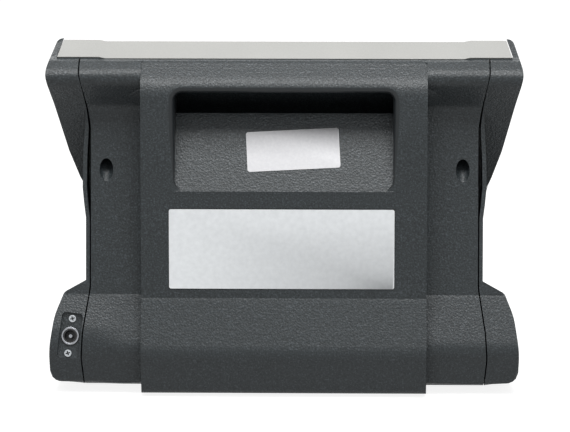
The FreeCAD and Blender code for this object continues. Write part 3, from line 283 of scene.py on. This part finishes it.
def soften(piece, radius, segments=2, sharp=32):
    """Round every edge that turns more than a given number of degrees."""
    activate(piece)
    bevel = piece.modifiers.new("edge_radius", "BEVEL")
    bevel.width = radius
    bevel.segments = segments
    bevel.limit_method = "ANGLE"
    bevel.angle_limit = math.radians(sharp)
    bevel.use_clamp_overlap = True
    bevel.harden_normals = False
    bpy.ops.object.modifier_apply(modifier=bevel.name)
    bpy.ops.object.shade_smooth_by_angle(angle=SMOOTH_TURN)
    weight = piece.modifiers.new("flat_faces_stay_flat", "WEIGHTED_NORMAL")
    weight.keep_sharp = True
    bpy.ops.object.modifier_apply(modifier=weight.name)
    print(piece.name, "faces:", len(piece.data.polygons))
    return piece


# %% [markdown]
# ## The last millimetres of the mouldings
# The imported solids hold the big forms. The real mouldings are a few millimetres fuller in places:
# the raised centre panel stands out further at its top and rolls over in a wide curve, the lower
# bulge turns under closer to the table, and the wings run further down. Sculpting would lose the
# crisp edges, so level lines are cut round each copy, like rings on a contour map, and the points
# on them are moved by a rule: from the old outline to the new one, less and less with depth.

# %% Outlines with rounded corners


def bent_line(corners, steps=8):
    """Points down a line with rounded corners; a corner is (across, height, radius), in mm."""
    points = [Vector(corners[0][:2])]
    for before, corner, after in zip(corners, corners[1:], corners[2:]):
        place = Vector(corner[:2])
        back = (Vector(before[:2]) - place).normalized()
        ahead = (Vector(after[:2]) - place).normalized()
        run = corner[2] * math.tan((math.pi - back.angle(ahead)) / 2)
        for step in range(steps + 1):
            share = step / steps
            points.append((place + back * run) * (1 - share) ** 2
                          + place * 2 * share * (1 - share) + (place + ahead * run) * share ** 2)
    points.append(Vector(corners[-1][:2]))
    return [point * MM for point in points]


def across_at(line, height):
    """How far across a line lies at a height; its points run downwards."""
    for upper, lower in zip(line, line[1:]):
        if height >= lower.y:
            run = upper.y - lower.y
            share = min((height - lower.y) / run, 1.0) if run > 0 else 0.0
            return lower.x + share * (upper.x - lower.x)
    return line[-1].x


def clamp(value):
    """A value held between 0 and 1."""
    return max(0.0, min(1.0, value))


# The centre panel's back, from its top edge over the roll, down the panel and round the bulge.
CENTRE_HALF = 84.5 * MM
CENTRE_LINE = bent_line([(48.6, 200.2, 0), (66.4, 185.2, 16), (69.6, 59.0, 3), (81.75, 28.0, 14),
                         (75.5, 3.0, 0)])
# The same beside the panel and on the wings, where a neck lies under the roll.
STRIP_LINE = bent_line([(43.0, 204.5, 0), (64.4, 189.6, 8), (46.43, 172.0, 0), (44.72, 160.0, 0),
                        (58.5, 59.0, 2), (73.0, 28.5, 14), (66.0, 7.0, 0)])
print("outline points:", len(CENTRE_LINE), len(STRIP_LINE))

# %% [markdown]
# A copy gets its level lines from the bisect operator. Where the old skin lies is then read from
# the points on those lines, so the rule starts from the solids as they are.

# %% Level lines
LEVELS = ([z * MM for z in range(6, 62, 2)] + [z * MM for z in (70, 90, 112, 122, 140, 160, 172)]
          + [z * MM for z in range(176, 200, 2)])
LEVEL_REACH = 0.11 * MM
SIDEWAYS = (1, 0, 0)
UPRIGHT = (0, 0, 1)
NO_CEILING = math.inf


def cut_lines(piece, spots, normal, ceiling=NO_CEILING):
    """Cut a line at each spot, square to a direction, through the faces below a ceiling."""
    for spot in spots:
        activate(piece)
        bpy.ops.object.mode_set(mode="EDIT")
        bpy.ops.mesh.select_all(action="DESELECT")
        bpy.ops.mesh.select_mode(type="FACE")
        bpy.ops.object.mode_set(mode="OBJECT")
        for face in piece.data.polygons:
            face.select = max(piece.data.vertices[index].co.z for index in face.vertices) < ceiling
        bpy.ops.object.mode_set(mode="EDIT")
        bpy.ops.mesh.bisect(plane_co=spot, plane_no=normal)
        bpy.ops.object.mode_set(mode="OBJECT")


def skin_of(piece, nearest, furthest):
    """The outermost y of a piece at each level, between two distances from the middle."""
    line = []
    for level in reversed(LEVELS):
        found = [vertex.co.y for vertex in piece.data.vertices
                 if abs(vertex.co.z - level) < LEVEL_REACH
                 and nearest <= abs(vertex.co.x) <= furthest]
        if found:
            line.append(Vector((max(found), level)))
    return line


print("level lines:", len(LEVELS))

# %% [markdown]
# The skin follows its new line in full down to 13 mm under it, and nothing moves below 26 mm. The
# inlet stays where it is, so the bending fades out before it.

# %% The bending rule
FULL_DEPTH = 13 * MM
LAST_DEPTH = 26 * MM
STILL_FOOT = 4 * MM
FOOT_BLEND = 5 * MM
EDGE_TOP = 20 * MM
EDGE_BLEND = 16 * MM
EDGE_START_Y = 45 * MM
EDGE_RUN_Y = 15 * MM
NECK_HEIGHT = 160 * MM
BASE_TOP = 60 * MM
INLET_FADE_START = 96 * MM
INLET_FADE = 18 * MM
STRIP_FALL = 1.0 * MM
CENTRE_FALL = 1.1 * MM


def bent_y(place, old, new):
    """The y of a place once the skin over it has moved from the old line to the new one."""
    skin = across_at(old, place.z)
    weight = clamp((LAST_DEPTH - (skin - place.y)) / (LAST_DEPTH - FULL_DEPTH))
    weight *= clamp((place.z - STILL_FOOT) / FOOT_BLEND)
    return place.y + weight * (across_at(new, place.z) - skin)


def lowered_z(place, fall):
    """The lower back edge lies a little lower than on the solids."""
    near_edge = clamp((EDGE_TOP - place.z) / EDGE_BLEND)
    return place.z - fall * near_edge * clamp((place.y - EDGE_START_Y) / EDGE_RUN_Y)


def bent_strip(place, old):
    """Bend a place beside the centre panel or on a wing; the inlet's end stays."""
    if place.z > NECK_HEIGHT or place.z < BASE_TOP:
        stays = clamp((place.x - INLET_FADE_START) / INLET_FADE) if place.z < BASE_TOP else 0.0
        moved = bent_y(place, old, STRIP_LINE)
        place.y = moved + stays * (place.y - moved)
    place.z = lowered_z(place, STRIP_FALL)


print("bending fades between", FULL_DEPTH / MM, "and", LAST_DEPTH / MM, "mm under the skin")

# %% [markdown]
# The recess floor leans by its own rule: it runs out a few millimetres closer to the skin at its
# foot. The mouth over it opens higher up, so its upper edge is lifted along the panel.

# %% The recess floor and its mouth
FLOOR_FOOT = 122.7 * MM
FLOOR_TOP = 167 * MM
OLD_FLOOR = (64.06 * MM, 0.5317)
NEW_FLOOR = (68.24 * MM, 0.56)
RECESS_HALF = 69.1 * MM
NEARLY = 0.05 * MM
MOUTH_LIFT = 5.1 * MM
MOUTH_HALF = 69.5 * MM
MOUTH_EDGE = (171 * MM, 180.5 * MM)
PANEL_LEAN = math.radians(5.33)
PANEL_FOOT = Vector((0, 70 * MM, 59 * MM))


def floor_y(height, floor):
    """The y of a floor at a height; a floor is its y at its foot and its slope."""
    return floor[0] - (height - FLOOR_FOOT) * floor[1]


def on_floor(place):
    """True for a place on the solids' recess floor."""
    inside = abs(place.x) < RECESS_HALF and FLOOR_FOOT - 2 * NEARLY < place.z < FLOOR_TOP
    return inside and abs(place.y - floor_y(place.z, OLD_FLOOR)) < NEARLY


def on_mouth_edge(place):
    """True for a place on the upper edge of the recess's mouth."""
    from_foot = Vector((0, place.y, place.z)) - PANEL_FOOT
    out = from_foot.dot(Vector((0, math.cos(PANEL_LEAN), math.sin(PANEL_LEAN))))
    at_edge = MOUTH_EDGE[0] < place.z < MOUTH_EDGE[1]
    return abs(out) < 2 * NEARLY and abs(place.x) < MOUTH_HALF and at_edge


cover = copy_of("rear_cover", "rounded_rear_cover")
lifted = [vertex.co for vertex in cover.data.vertices if on_mouth_edge(vertex.co)]
for place in lifted:
    place.z += MOUTH_LIFT
    place.y -= MOUTH_LIFT * math.tan(PANEL_LEAN)
print("points lifted on the mouth's edge:", len(lifted))

# %% [markdown]
# The rear cover is cut and bent first. A few upright lines are added where the panel's sides and
# the fade before the inlet need points of their own. Each point then follows the rule of the
# surface it belongs to: the recess floor, the strip beside the panel, or the panel itself.

# %% Bend the rear cover
PANEL_SIDES = [(side * 83 * MM, 0, 0) for side in (-1, 1)]
FADE_LINES = [(across * MM, 0, 0) for across in (96, 102, 108, 114)]
UNDER_BASE_TOP = 61 * MM
SEAM_REACH = 125 * MM
SIDE_SLACK = 0.3 * MM
cut_lines(cover, [(0, 0, level) for level in LEVELS], UPRIGHT)
cut_lines(cover, PANEL_SIDES, SIDEWAYS)
cut_lines(cover, FADE_LINES, SIDEWAYS, ceiling=UNDER_BASE_TOP)
centre_skin = skin_of(cover, 0, CENTRE_HALF + NEARLY)
strip_skin = skin_of(cover, CENTRE_HALF + 2 * NEARLY, SEAM_REACH)
for vertex in cover.data.vertices:
    place = vertex.co
    at_strip = place.y < across_at(strip_skin, place.z) + SIDE_SLACK
    beside = abs(place.x) > CENTRE_HALF + NEARLY
    if on_floor(place):
        place.y = floor_y(place.z, NEW_FLOOR)
    elif beside or abs(place.x) > CENTRE_HALF - 2 * NEARLY and at_strip:
        bent_strip(place, strip_skin)
    else:
        place.y = bent_y(place, centre_skin, CENTRE_LINE)
        place.z = lowered_z(place, CENTRE_FALL)
print("cover vertices:", len(cover.data.vertices))

# %% [markdown]
# The rating plate lies on the panel and the paper sticker on the recess floor. Both are thin, so
# they are not bent by depth: they move by as much as the surface under them has moved.

# %% Bring the rating label and the sticker along
label = copy_of("rating_label", "rating_label_film")
for vertex in label.data.vertices:
    vertex.co.y += across_at(CENTRE_LINE, vertex.co.z) - across_at(centre_skin, vertex.co.z)
sticker = copy_of("recess_sticker", "recess_paper_sticker")
for vertex in sticker.data.vertices:
    vertex.co.y += floor_y(vertex.co.z, NEW_FLOOR) - floor_y(vertex.co.z, OLD_FLOOR)
print("label and sticker vertices:", len(label.data.vertices), len(sticker.data.vertices))

# %% [markdown]
# The wings keep their top but run on further down in front, where they meet the waist lower. Their
# rule works across: the closer a point lies to the old outline, the more it follows the new one.
# High up the whole wing follows; lower down only what lies ahead of a slanting plane does. The
# face panel lies between the wings and follows the same rule.

# %% The wings' rule and the base's rounded corners
WING_STEPS = 24
OLD_WING = bent_line([(134.5, 208.7, 0), (142.6, 190.5, 25), (118.2, 108.7, 12), (118.2, 40.0, 0)],
                     steps=WING_STEPS)
NEW_WING = bent_line([(135.6, 208.7, 0), (141.4, 192.0, 15), (118.2, 85.5, 14), (118.2, 40.0, 0)],
                     steps=WING_STEPS)
WING_SLOPE = (0, 1, -0.7)
WING_RUN = 25 * MM
WING_BACK = (0, 62.6 * MM, 195.1 * MM)
WING_FRONT = (0, WING_BACK[1] - WING_RUN, WING_BACK[2])
WING_FLOOR = 70 * MM
WING_WHOLE = 132 * MM
WING_FADE = 26 * MM
SIDE_SPREAD = 100 * MM
CORNER_RADIUS = 7 * MM
BASE_HALF = 139.3 * MM
BASE_FOOT = 7 * MM
CORNER_TOP = BASE_FOOT + CORNER_RADIUS


def spread_x(place):
    """The x of a place once the wings follow their new outline; nearer the middle it moves less."""
    if place.z < WING_FLOOR:
        return place.x
    ahead = clamp((Vector(WING_BACK) - place).dot(Vector(WING_SLOPE)) / WING_RUN)
    low = clamp((WING_WHOLE - place.z) / WING_FADE)
    old = across_at(OLD_WING, place.z)
    weight = clamp((abs(place.x) - SIDE_SPREAD) / (old - SIDE_SPREAD)) * (1 - low * (1 - ahead))
    return place.x + math.copysign(weight, place.x) * (across_at(NEW_WING, place.z) - old)


def rounded_foot(place):
    """The z of a place on the base's outer corner, which turns up in a quarter circle."""
    over = min(abs(place.x) - (BASE_HALF - CORNER_RADIUS), CORNER_RADIUS)
    if over <= 0 or place.z > CORNER_TOP:
        return place.z
    return max(place.z, CORNER_TOP - math.sqrt(CORNER_RADIUS ** 2 - over ** 2))


print("wing outline points:", len(OLD_WING), len(NEW_WING))

# %% [markdown]
# The housing and the face panel get the same level lines, and some closer ones where the wings
# turn in. Upright lines at the base's ends give its lower corners points to turn on. Where the
# bending lays two points on one spot, they are merged.

# %% Bend the housing and the face panel
WING_LEVELS = [z * MM for z in (72, 76, 80, 84, 88, 92, 96, 100, 104)]
WING_LEDGE = 109 * MM
WING_MIDDLE = 141 * MM
CORNER_LINES = [(side * half * MM, 0, 0) for side in (-1, 1) for half in (132.3, 134, 136, 138)]
COLLAPSED = 0.02 * MM
housing = copy_of("front_housing", "rounded_front_housing")
panel = copy_of("face_panel", "rounded_face_panel")
for piece in (housing, panel):
    cut_lines(piece, [(0, 0, level) for level in LEVELS + WING_LEVELS], UPRIGHT)
cut_lines(housing, [WING_BACK], WING_SLOPE, ceiling=WING_LEDGE)
cut_lines(housing, [WING_FRONT], WING_SLOPE, ceiling=WING_MIDDLE)
cut_lines(housing, CORNER_LINES, SIDEWAYS, ceiling=UNDER_BASE_TOP)
for vertex in housing.data.vertices:
    place = vertex.co
    place.x = spread_x(place)
    if abs(place.x) > CENTRE_HALF:
        bent_strip(place, strip_skin)
    place.z = rounded_foot(place)
for vertex in panel.data.vertices:
    vertex.co.x = spread_x(vertex.co)
activate(housing)
bpy.ops.object.mode_set(mode="EDIT")
bpy.ops.mesh.select_all(action="SELECT")
bpy.ops.mesh.remove_doubles(threshold=COLLAPSED)
bpy.ops.object.mode_set(mode="OBJECT")
print("housing and panel vertices:", len(housing.data.vertices), len(panel.data.vertices))

# %% [markdown]
# ## The lip of the recess
# A polished lip rolls inwards round the recess's mouth, wide at the top, where the fingers pull,
# and narrow at the foot. It is a closed ring of loops: a thin flange on the panel, a quarter circle
# that turns inwards, and an inner wall down to the floor or, at the top, to the pocket.

# %% The lip's outlines
SIDE_SHARES = (0.2, 0.4, 0.6, 0.7, 0.8, 0.9)
LIP_OUTSIDE = (70.3 * MM, 121.4 * MM, 186.6 * MM, 7.9 * MM, 10.4 * MM)
LIP_INSIDE = (64.6 * MM, 123.6 * MM, 180.9 * MM, 6.0 * MM, 4.5 * MM)
LIP_NARROW = 1.0 * MM
LIP_GROWTH = 3.45 * MM
LIP_GROWTH_START = 124 * MM
LIP_GROWTH_RUN = 45 * MM
LIP_SILL = 176.5 * MM
LIP_BACK = 57.6 * MM
FLOOR_SINK = 0.3 * MM


def mouth_outline(half, low, high, low_radius, high_radius, steps=8):
    """Points round the mouth with their outward directions; half its width, then its heights."""
    points = []
    corners = ((1, low + low_radius, low_radius, -90), (1, high - high_radius, high_radius, 0),
               (-1, high - high_radius, high_radius, 90), (-1, low + low_radius, low_radius, 180))
    for index, (side, height, radius, start) in enumerate(corners):
        centre = Vector((side * (half - radius), height))
        for step in range(steps + 1):
            angle = math.radians(start + 90 * step / steps)
            outward = Vector((math.cos(angle), math.sin(angle)))
            points.append((centre + outward * radius, outward))
        if index in (0, 2):
            last, outward = points[-1]
            run = corners[index + 1][1] - last.y
            points += [(Vector((last.x, last.y + share * run)), outward) for share in SIDE_SHARES]
    return points


def lip_radius(height):
    """The lip's radius grows from the mouth's foot to its top."""
    share = clamp((height - LIP_GROWTH_START) / LIP_GROWTH_RUN)
    return LIP_NARROW + LIP_GROWTH * share * share * (3 - 2 * share)


def lip_end(height):
    """How deep the lip's inner wall runs at a height."""
    return LIP_BACK if height >= LIP_SILL else floor_y(height, NEW_FLOOR) - FLOOR_SINK


flange = mouth_outline(*LIP_OUTSIDE)
inner = mouth_outline(*LIP_INSIDE)
print("points round the mouth:", len(flange), len(inner))

# %% [markdown]
# A spin would give every part of the lip one radius, but the real lip grows towards its top. So
# each loop is worked out from the mouth's outline, and neighbouring loops are joined by faces:
# the last one meets the first, which closes the ring inside the moulding.

# %% The lip's loops
FLANGE_PROUD = 0.06 * MM
FLANGE_ROOT = -1.5 * MM
TURNS = [math.radians(angle) for angle in range(0, 91, 15)]
ROOT_OUT = 3 * MM
ROOT_UP = 0.8 * MM
loops = [[(point.x, across_at(CENTRE_LINE, point.y) + lift, point.y) for point, outward in flange]
         for lift in (FLANGE_ROOT, FLANGE_PROUD)]
for turned in TURNS:
    loop = []
    for point, outward in inner:
        radius = lip_radius(point.y)
        spot = point + outward * radius * (1 - math.sin(turned))
        skin = across_at(CENTRE_LINE, spot.y) + FLANGE_PROUD
        loop.append((spot.x, skin - radius * (1 - math.cos(turned)), spot.y))
    loops.append(loop)
loops.append([(point.x, lip_end(point.y), point.y) for point, outward in inner])
loops.append([(point.x + outward.x * ROOT_OUT, lip_end(point.y), point.y + outward.y * ROOT_UP)
              for point, outward in inner])
print("loops of the lip:", len(loops))

# %% Join the loops into a ring
POLISHED_SHADE_ROW = 3


def closed_piece(name, spots, faces, finishes):
    """A piece from its points and faces, with its finishes and its normals turned outwards."""
    mesh = bpy.data.meshes.new(name)
    mesh.from_pydata(spots, [], faces)
    piece = bpy.data.objects.new(name, mesh)
    bpy.context.collection.objects.link(piece)
    for finish in finishes:
        piece.data.materials.append(finish)
    activate(piece)
    bpy.ops.object.mode_set(mode="EDIT")
    bpy.ops.mesh.select_all(action="SELECT")
    bpy.ops.mesh.normals_make_consistent(inside=False)
    bpy.ops.object.mode_set(mode="OBJECT")
    return piece


count = len(inner)
faces = []
for row in range(len(loops)):
    start, after = row * count, (row + 1) % len(loops) * count
    faces += [(start + step, start + (step + 1) % count, after + (step + 1) % count, after + step)
              for step in range(count)]
lip = closed_piece("recess_lip", [spot for loop in loops for spot in loop], faces,
                   (slate_abs, polished_shaded_abs))
# From this row inwards the lip is smooth and coloured darker, as painted shade in the recess.
for face in lip.data.polygons:
    face.material_index = 1 if face.index // count >= POLISHED_SHADE_ROW else 0
activate(lip)
bpy.ops.object.shade_smooth_by_angle(angle=SMOOTH_TURN)
print("recess lip faces:", len(lip.data.polygons))

# %% [markdown]
# ## Putting the pieces in place
# Each bent or rounded copy stands in for its node and rides on the node's body.

# %% Round the housing, the cover, the face panel and the keys
KEYS = ("power_key", "left_key", "down_key", "up_key", "right_key", "start_key")
BODY_OF = {key: key + "_cap" for key in KEYS}
ROUNDED = {"front_housing": 0.8 * MM, "rear_cover": 0.8 * MM, "face_panel": 0.7 * MM,
           "hose_sockets": 0.5 * MM, "rubber_feet": 0.8 * MM, "display_window": 0.25 * MM,
           "dc_jack_ring": 0.3 * MM, **{key: 0.5 * MM for key in KEYS}}
BENT = {"rear_cover": cover, "front_housing": housing, "face_panel": panel}


def stand_in(piece, name):
    """Let a piece stand for a node, on the node's body; the node is hidden."""
    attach(piece, BODY_OF.get(name, "pump_body"))
    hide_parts(name)


for name, radius in ROUNDED.items():
    piece = BENT.get(name) or copy_of(name, "rounded_" + name)
    stand_in(soften(piece, radius), name)
stand_in(label, "rating_label")
stand_in(sticker, "recess_sticker")
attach(lip, "pump_body")

# %% [markdown]
# ## Screw recesses
# The two small screws of the inlet are driven with a cross-head bit, so each head has a cross sunk
# in it. Two slots cut it: a boolean modifier takes a turned block out of the head and gives the
# new faces the block's own finish, a dark grey that paints the shade inside the recess.

# %% Sink the crosses
SCREW_AXIS = Vector((0, 0.966, 0.259)).normalized()
SCREW_SPOTS = [Vector(spot) * MM for spot in ((128.47, 69.11, 25.05), (125.93, 63.76, 44.99))]
SCREW_REACH = 6 * MM
SLOT_SIZE = (2.7 * MM, 0.75 * MM, 1.8 * MM)
FIRST_TURN = 0.3
SLOT_TURNS = (FIRST_TURN, FIRST_TURN + math.pi / 2)
SCREW_EDGE = 0.12 * MM
CROWN_SLACK = 0.05 * MM


def crown_of(places, direction):
    """The places that lie furthest along a direction."""
    top = max(place.dot(direction) for place in places)
    return [place for place in places if place.dot(direction) > top - CROWN_SLACK]


def sink_slot(piece, middle, turned):
    """Cut one slot into a screw's head, with a dark finish that paints the recess's shade."""
    deselect_all()
    bpy.ops.mesh.primitive_cube_add(size=1.0, location=middle)
    cutter = bpy.context.object
    cutter.scale = SLOT_SIZE
    cutter.data.materials.append(shaded_driver_recess)
    facing = SCREW_AXIS.to_track_quat("Z", "Y").to_matrix()
    cutter.rotation_euler = (facing @ Matrix.Rotation(turned, 3, "Z")).to_euler()
    activate(piece)
    bite = piece.modifiers.new("cross_recess", "BOOLEAN")
    bite.operation = "DIFFERENCE"
    bite.object = cutter
    bite.material_mode = "TRANSFER"
    bpy.ops.object.modifier_apply(modifier=bite.name)
    bpy.data.objects.remove(cutter)


screws = copy_of("jack_screws", "cross_head_screws")
for spot in SCREW_SPOTS:
    near = [vertex.co for vertex in screws.data.vertices if (vertex.co - spot).length < SCREW_REACH]
    crown = crown_of(near, SCREW_AXIS)
    middle = sum(crown, Vector()) / len(crown)
    for turned in SLOT_TURNS:
        sink_slot(screws, middle, turned)
stand_in(soften(screws, SCREW_EDGE), "jack_screws")

# %% [markdown]
# ## Key symbols
# The keys carry plain printed symbols of a kind that any appliance has: a power ring, arrows and a
# start triangle. Pad printing lays down ink of one thickness, so each symbol is an outline made
# into a thin closed layer, sunk a little into its key so that no light passes under it.

# %% Outlines of the key symbols, in mm
RING_RADII = (3.2, 2.5)
POWER_BAR = [(-0.35, 0.4), (0.35, 0.4), (0.35, 3.6), (-0.35, 3.6)]
ARROW_SIZE = 3.0
START_SIZE = 3.6
ARROW_CORNERS = (0, 125, 235)
ARROW_TURNS = {"left_key": 180, "down_key": 270, "up_key": 90, "right_key": 0}


def on_circle(radius, degrees):
    """A point on a circle round the symbol's middle."""
    return radius * math.cos(math.radians(degrees)), radius * math.sin(math.radians(degrees))


def arrow(turned, size):
    """A triangle that points a number of degrees round from the right."""
    return [on_circle(size, turned + corner) for corner in ARROW_CORNERS]


def open_ring(outer, inner, gap=35, steps=24):
    """A ring with a gap at its top, as one outline."""
    turns = [90 + gap + (360 - 2 * gap) * step / steps for step in range(steps + 1)]
    return ([on_circle(outer, turn) for turn in turns]
            + [on_circle(inner, turn) for turn in reversed(turns)])


SYMBOLS = {"power_key": [open_ring(*RING_RADII), POWER_BAR],
           **{name: [arrow(turned, ARROW_SIZE)] for name, turned in ARROW_TURNS.items()},
           "start_key": [arrow(0, START_SIZE)]}
print("symbols:", list(SYMBOLS))

# %% [markdown]
# A symbol lies in the plane of its key's top, which leans with the face. The top is the largest
# face that looks up and forwards, and a matrix made from its directions carries a flat outline
# from millimetres round the symbol's middle to its place on the key.

# %% Print the symbols on the keys
INK_SUNK = -0.05
INK_PROUD = 0.10


def key_top(name):
    """The matrix that lays an outline in mm on a key's top."""
    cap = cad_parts[name].data
    top = max(cap.polygons, key=lambda face: face.area * (face.normal.z - face.normal.y))
    normal = top.normal.copy()
    across = Vector(SIDEWAYS)
    crown = crown_of([vertex.co for vertex in cap.vertices], normal)
    low, high = ([pick(place[axis] for place in crown) for axis in range(3)] for pick in (min, max))
    middle = (Vector(low) + Vector(high)) / 2
    facing = Matrix((across, normal.cross(across), normal)).transposed().to_4x4()
    return Matrix.Translation(middle) @ facing @ Matrix.Scale(MM, 4)


def thin_layer(outline, start):
    """The points and faces of an outline as a thin layer; the faces count from a start."""
    size = len(outline)
    spots = [(across, along, lift) for lift in (INK_SUNK, INK_PROUD) for across, along in outline]
    top = list(range(start + size, start + 2 * size))
    bottom = list(range(start + size - 1, start - 1, -1))
    sides = [(start + step, start + (step + 1) % size,
              start + size + (step + 1) % size, start + size + step) for step in range(size)]
    return spots, [top, bottom, *sides]


for name, outlines in SYMBOLS.items():
    lay = key_top(name)
    spots, faces = [], []
    for outline in outlines:
        more_spots, more_faces = thin_layer(outline, len(spots))
        spots += [lay @ Vector(spot) for spot in more_spots]
        faces += more_faces
    symbol = closed_piece(name + "_symbol", spots, faces, [key_ink])
    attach(symbol, BODY_OF[name])
print("key symbols:", len(SYMBOLS))

# %% [markdown]
# ## Floor, backdrop and light
# The pump stands on a wide flat sheet of pale paper. To the camera, and in reflections, the sheet
# and the air round it are white, but they throw little light back on the pump: a grey base
# colour lights the scene, and a glow that only those rays can see makes the white. The glow is
# a little under full, so the pump's own soft shadow still shows beside it.

# %% Lay the sheet
SHEET_SIZE = 12.0
SHEET_CELLS = 24
SHEET_GLOW = 0.86
deselect_all()
bpy.ops.mesh.primitive_grid_add(x_subdivisions=SHEET_CELLS, y_subdivisions=SHEET_CELLS,
                                size=SHEET_SIZE)
sheet = bpy.context.object
sheet.name = "studio_sheet"


def white_to_the_eye(tree):
    """1 on the rays that the eye follows: straight, mirrored or through glass."""
    rays = add_node(tree, "ShaderNodeLightPath")
    seen = rays.outputs["Is Camera Ray"]
    for kind in ("Is Glossy Ray", "Is Transmission Ray"):
        seen = add_node(tree, "ShaderNodeMath", {0: seen, 1: rays.outputs[kind]},
                        operation="MAXIMUM").outputs["Value"]
    return seen


paper, tree, shader = new_finish("white_studio_paper")
shader.inputs["Base Color"].default_value = linear("#8E8E8E")
shader.inputs["Roughness"].default_value = 0.9
shader.inputs["Emission Color"].default_value = linear("#FFFFFF")
glow = add_node(tree, "ShaderNodeMath", {0: white_to_the_eye(tree), 1: SHEET_GLOW},
                operation="MULTIPLY")
tree.links.new(glow.outputs["Value"], shader.inputs["Emission Strength"])
sheet.data.materials.append(paper)
print("sheet, m:", SHEET_SIZE)

# %% [markdown]
# Three broad soft panels light the pump: one overhead, one over the viewer's shoulder at the back
# of the pump, and one on the side of its face. The air adds a weak light from all round. A panel
# is given by its name, its place, the place it aims at, its extent and its power in watts.

# %% Light it
AIR_LIGHT = 0.25
LIGHTS = (("overhead_panel", (0.0, 0.50, 1.30), (0.0, 0.04, 0.1), (1.0, 0.5), 20.0),
          ("viewer_panel", (-0.35, 1.50, 1.10), (0.0, 0.0, 0.1), (1.2, 0.8), 5.0),
          ("face_panel_fill", (0.3, -1.60, 1.10), (0.0, 0.0, 0.1), (1.4, 1.0), 12.0))
for name, place, aim, extent, power in LIGHTS:
    lamp = bpy.data.lights.new(name, "AREA")
    lamp.shape = "RECTANGLE"
    lamp.size, lamp.size_y = extent
    lamp.energy = power
    holder = bpy.data.objects.new(name, lamp)
    bpy.context.collection.objects.link(holder)
    holder.location = place
    holder.rotation_euler = (Vector(place) - Vector(aim)).to_track_quat("Z", "Y").to_euler()
world = bpy.data.worlds.new("studio_air")
bpy.context.scene.world = world
world.use_nodes = True
air = world.node_tree.nodes["Background"]
air.inputs["Color"].default_value = linear("#FFFFFF")
strength = add_node(world.node_tree, "ShaderNodeMapRange",
                    {"Value": white_to_the_eye(world.node_tree), "To Min": AIR_LIGHT,
                     "To Max": 1.0})
world.node_tree.links.new(strength.outputs["Result"], air.inputs["Strength"])
bpy.context.scene.view_settings.view_transform = "Standard"
print("panels, W:", {name: power for name, *rest, power in LIGHTS})

# %% [markdown]
# ## The camera
# The picture is a product shot of the back, taken from two metres away with a long lens, ten
# degrees above the table. The long lens keeps the outline's upright lines upright.

# %% Place the camera
CAMERA_TURN = 1.1
CAMERA_RISE = 10.0
CAMERA_REACH = 2.0
SENSOR_WIDTH = 36.0
SCENE_WIDTH = 339.6 * MM
TARGET = Vector((-0.37 * MM, 50 * MM, 105 * MM))
turn = math.radians(CAMERA_TURN)
rise = math.radians(CAMERA_RISE)
towards = Vector((-math.sin(turn) * math.cos(rise), math.cos(turn) * math.cos(rise),
                  math.sin(rise)))
lens = bpy.data.cameras.new("back_view")
lens.sensor_width = SENSOR_WIDTH
lens.lens = SENSOR_WIDTH * CAMERA_REACH / SCENE_WIDTH
camera = bpy.data.objects.new("back_view", lens)
bpy.context.collection.objects.link(camera)
camera.location = TARGET + towards * CAMERA_REACH
camera.rotation_euler = towards.to_track_quat("Z", "Y").to_euler()
bpy.context.scene.camera = camera
print("lens, mm:", round(lens.lens, 1))
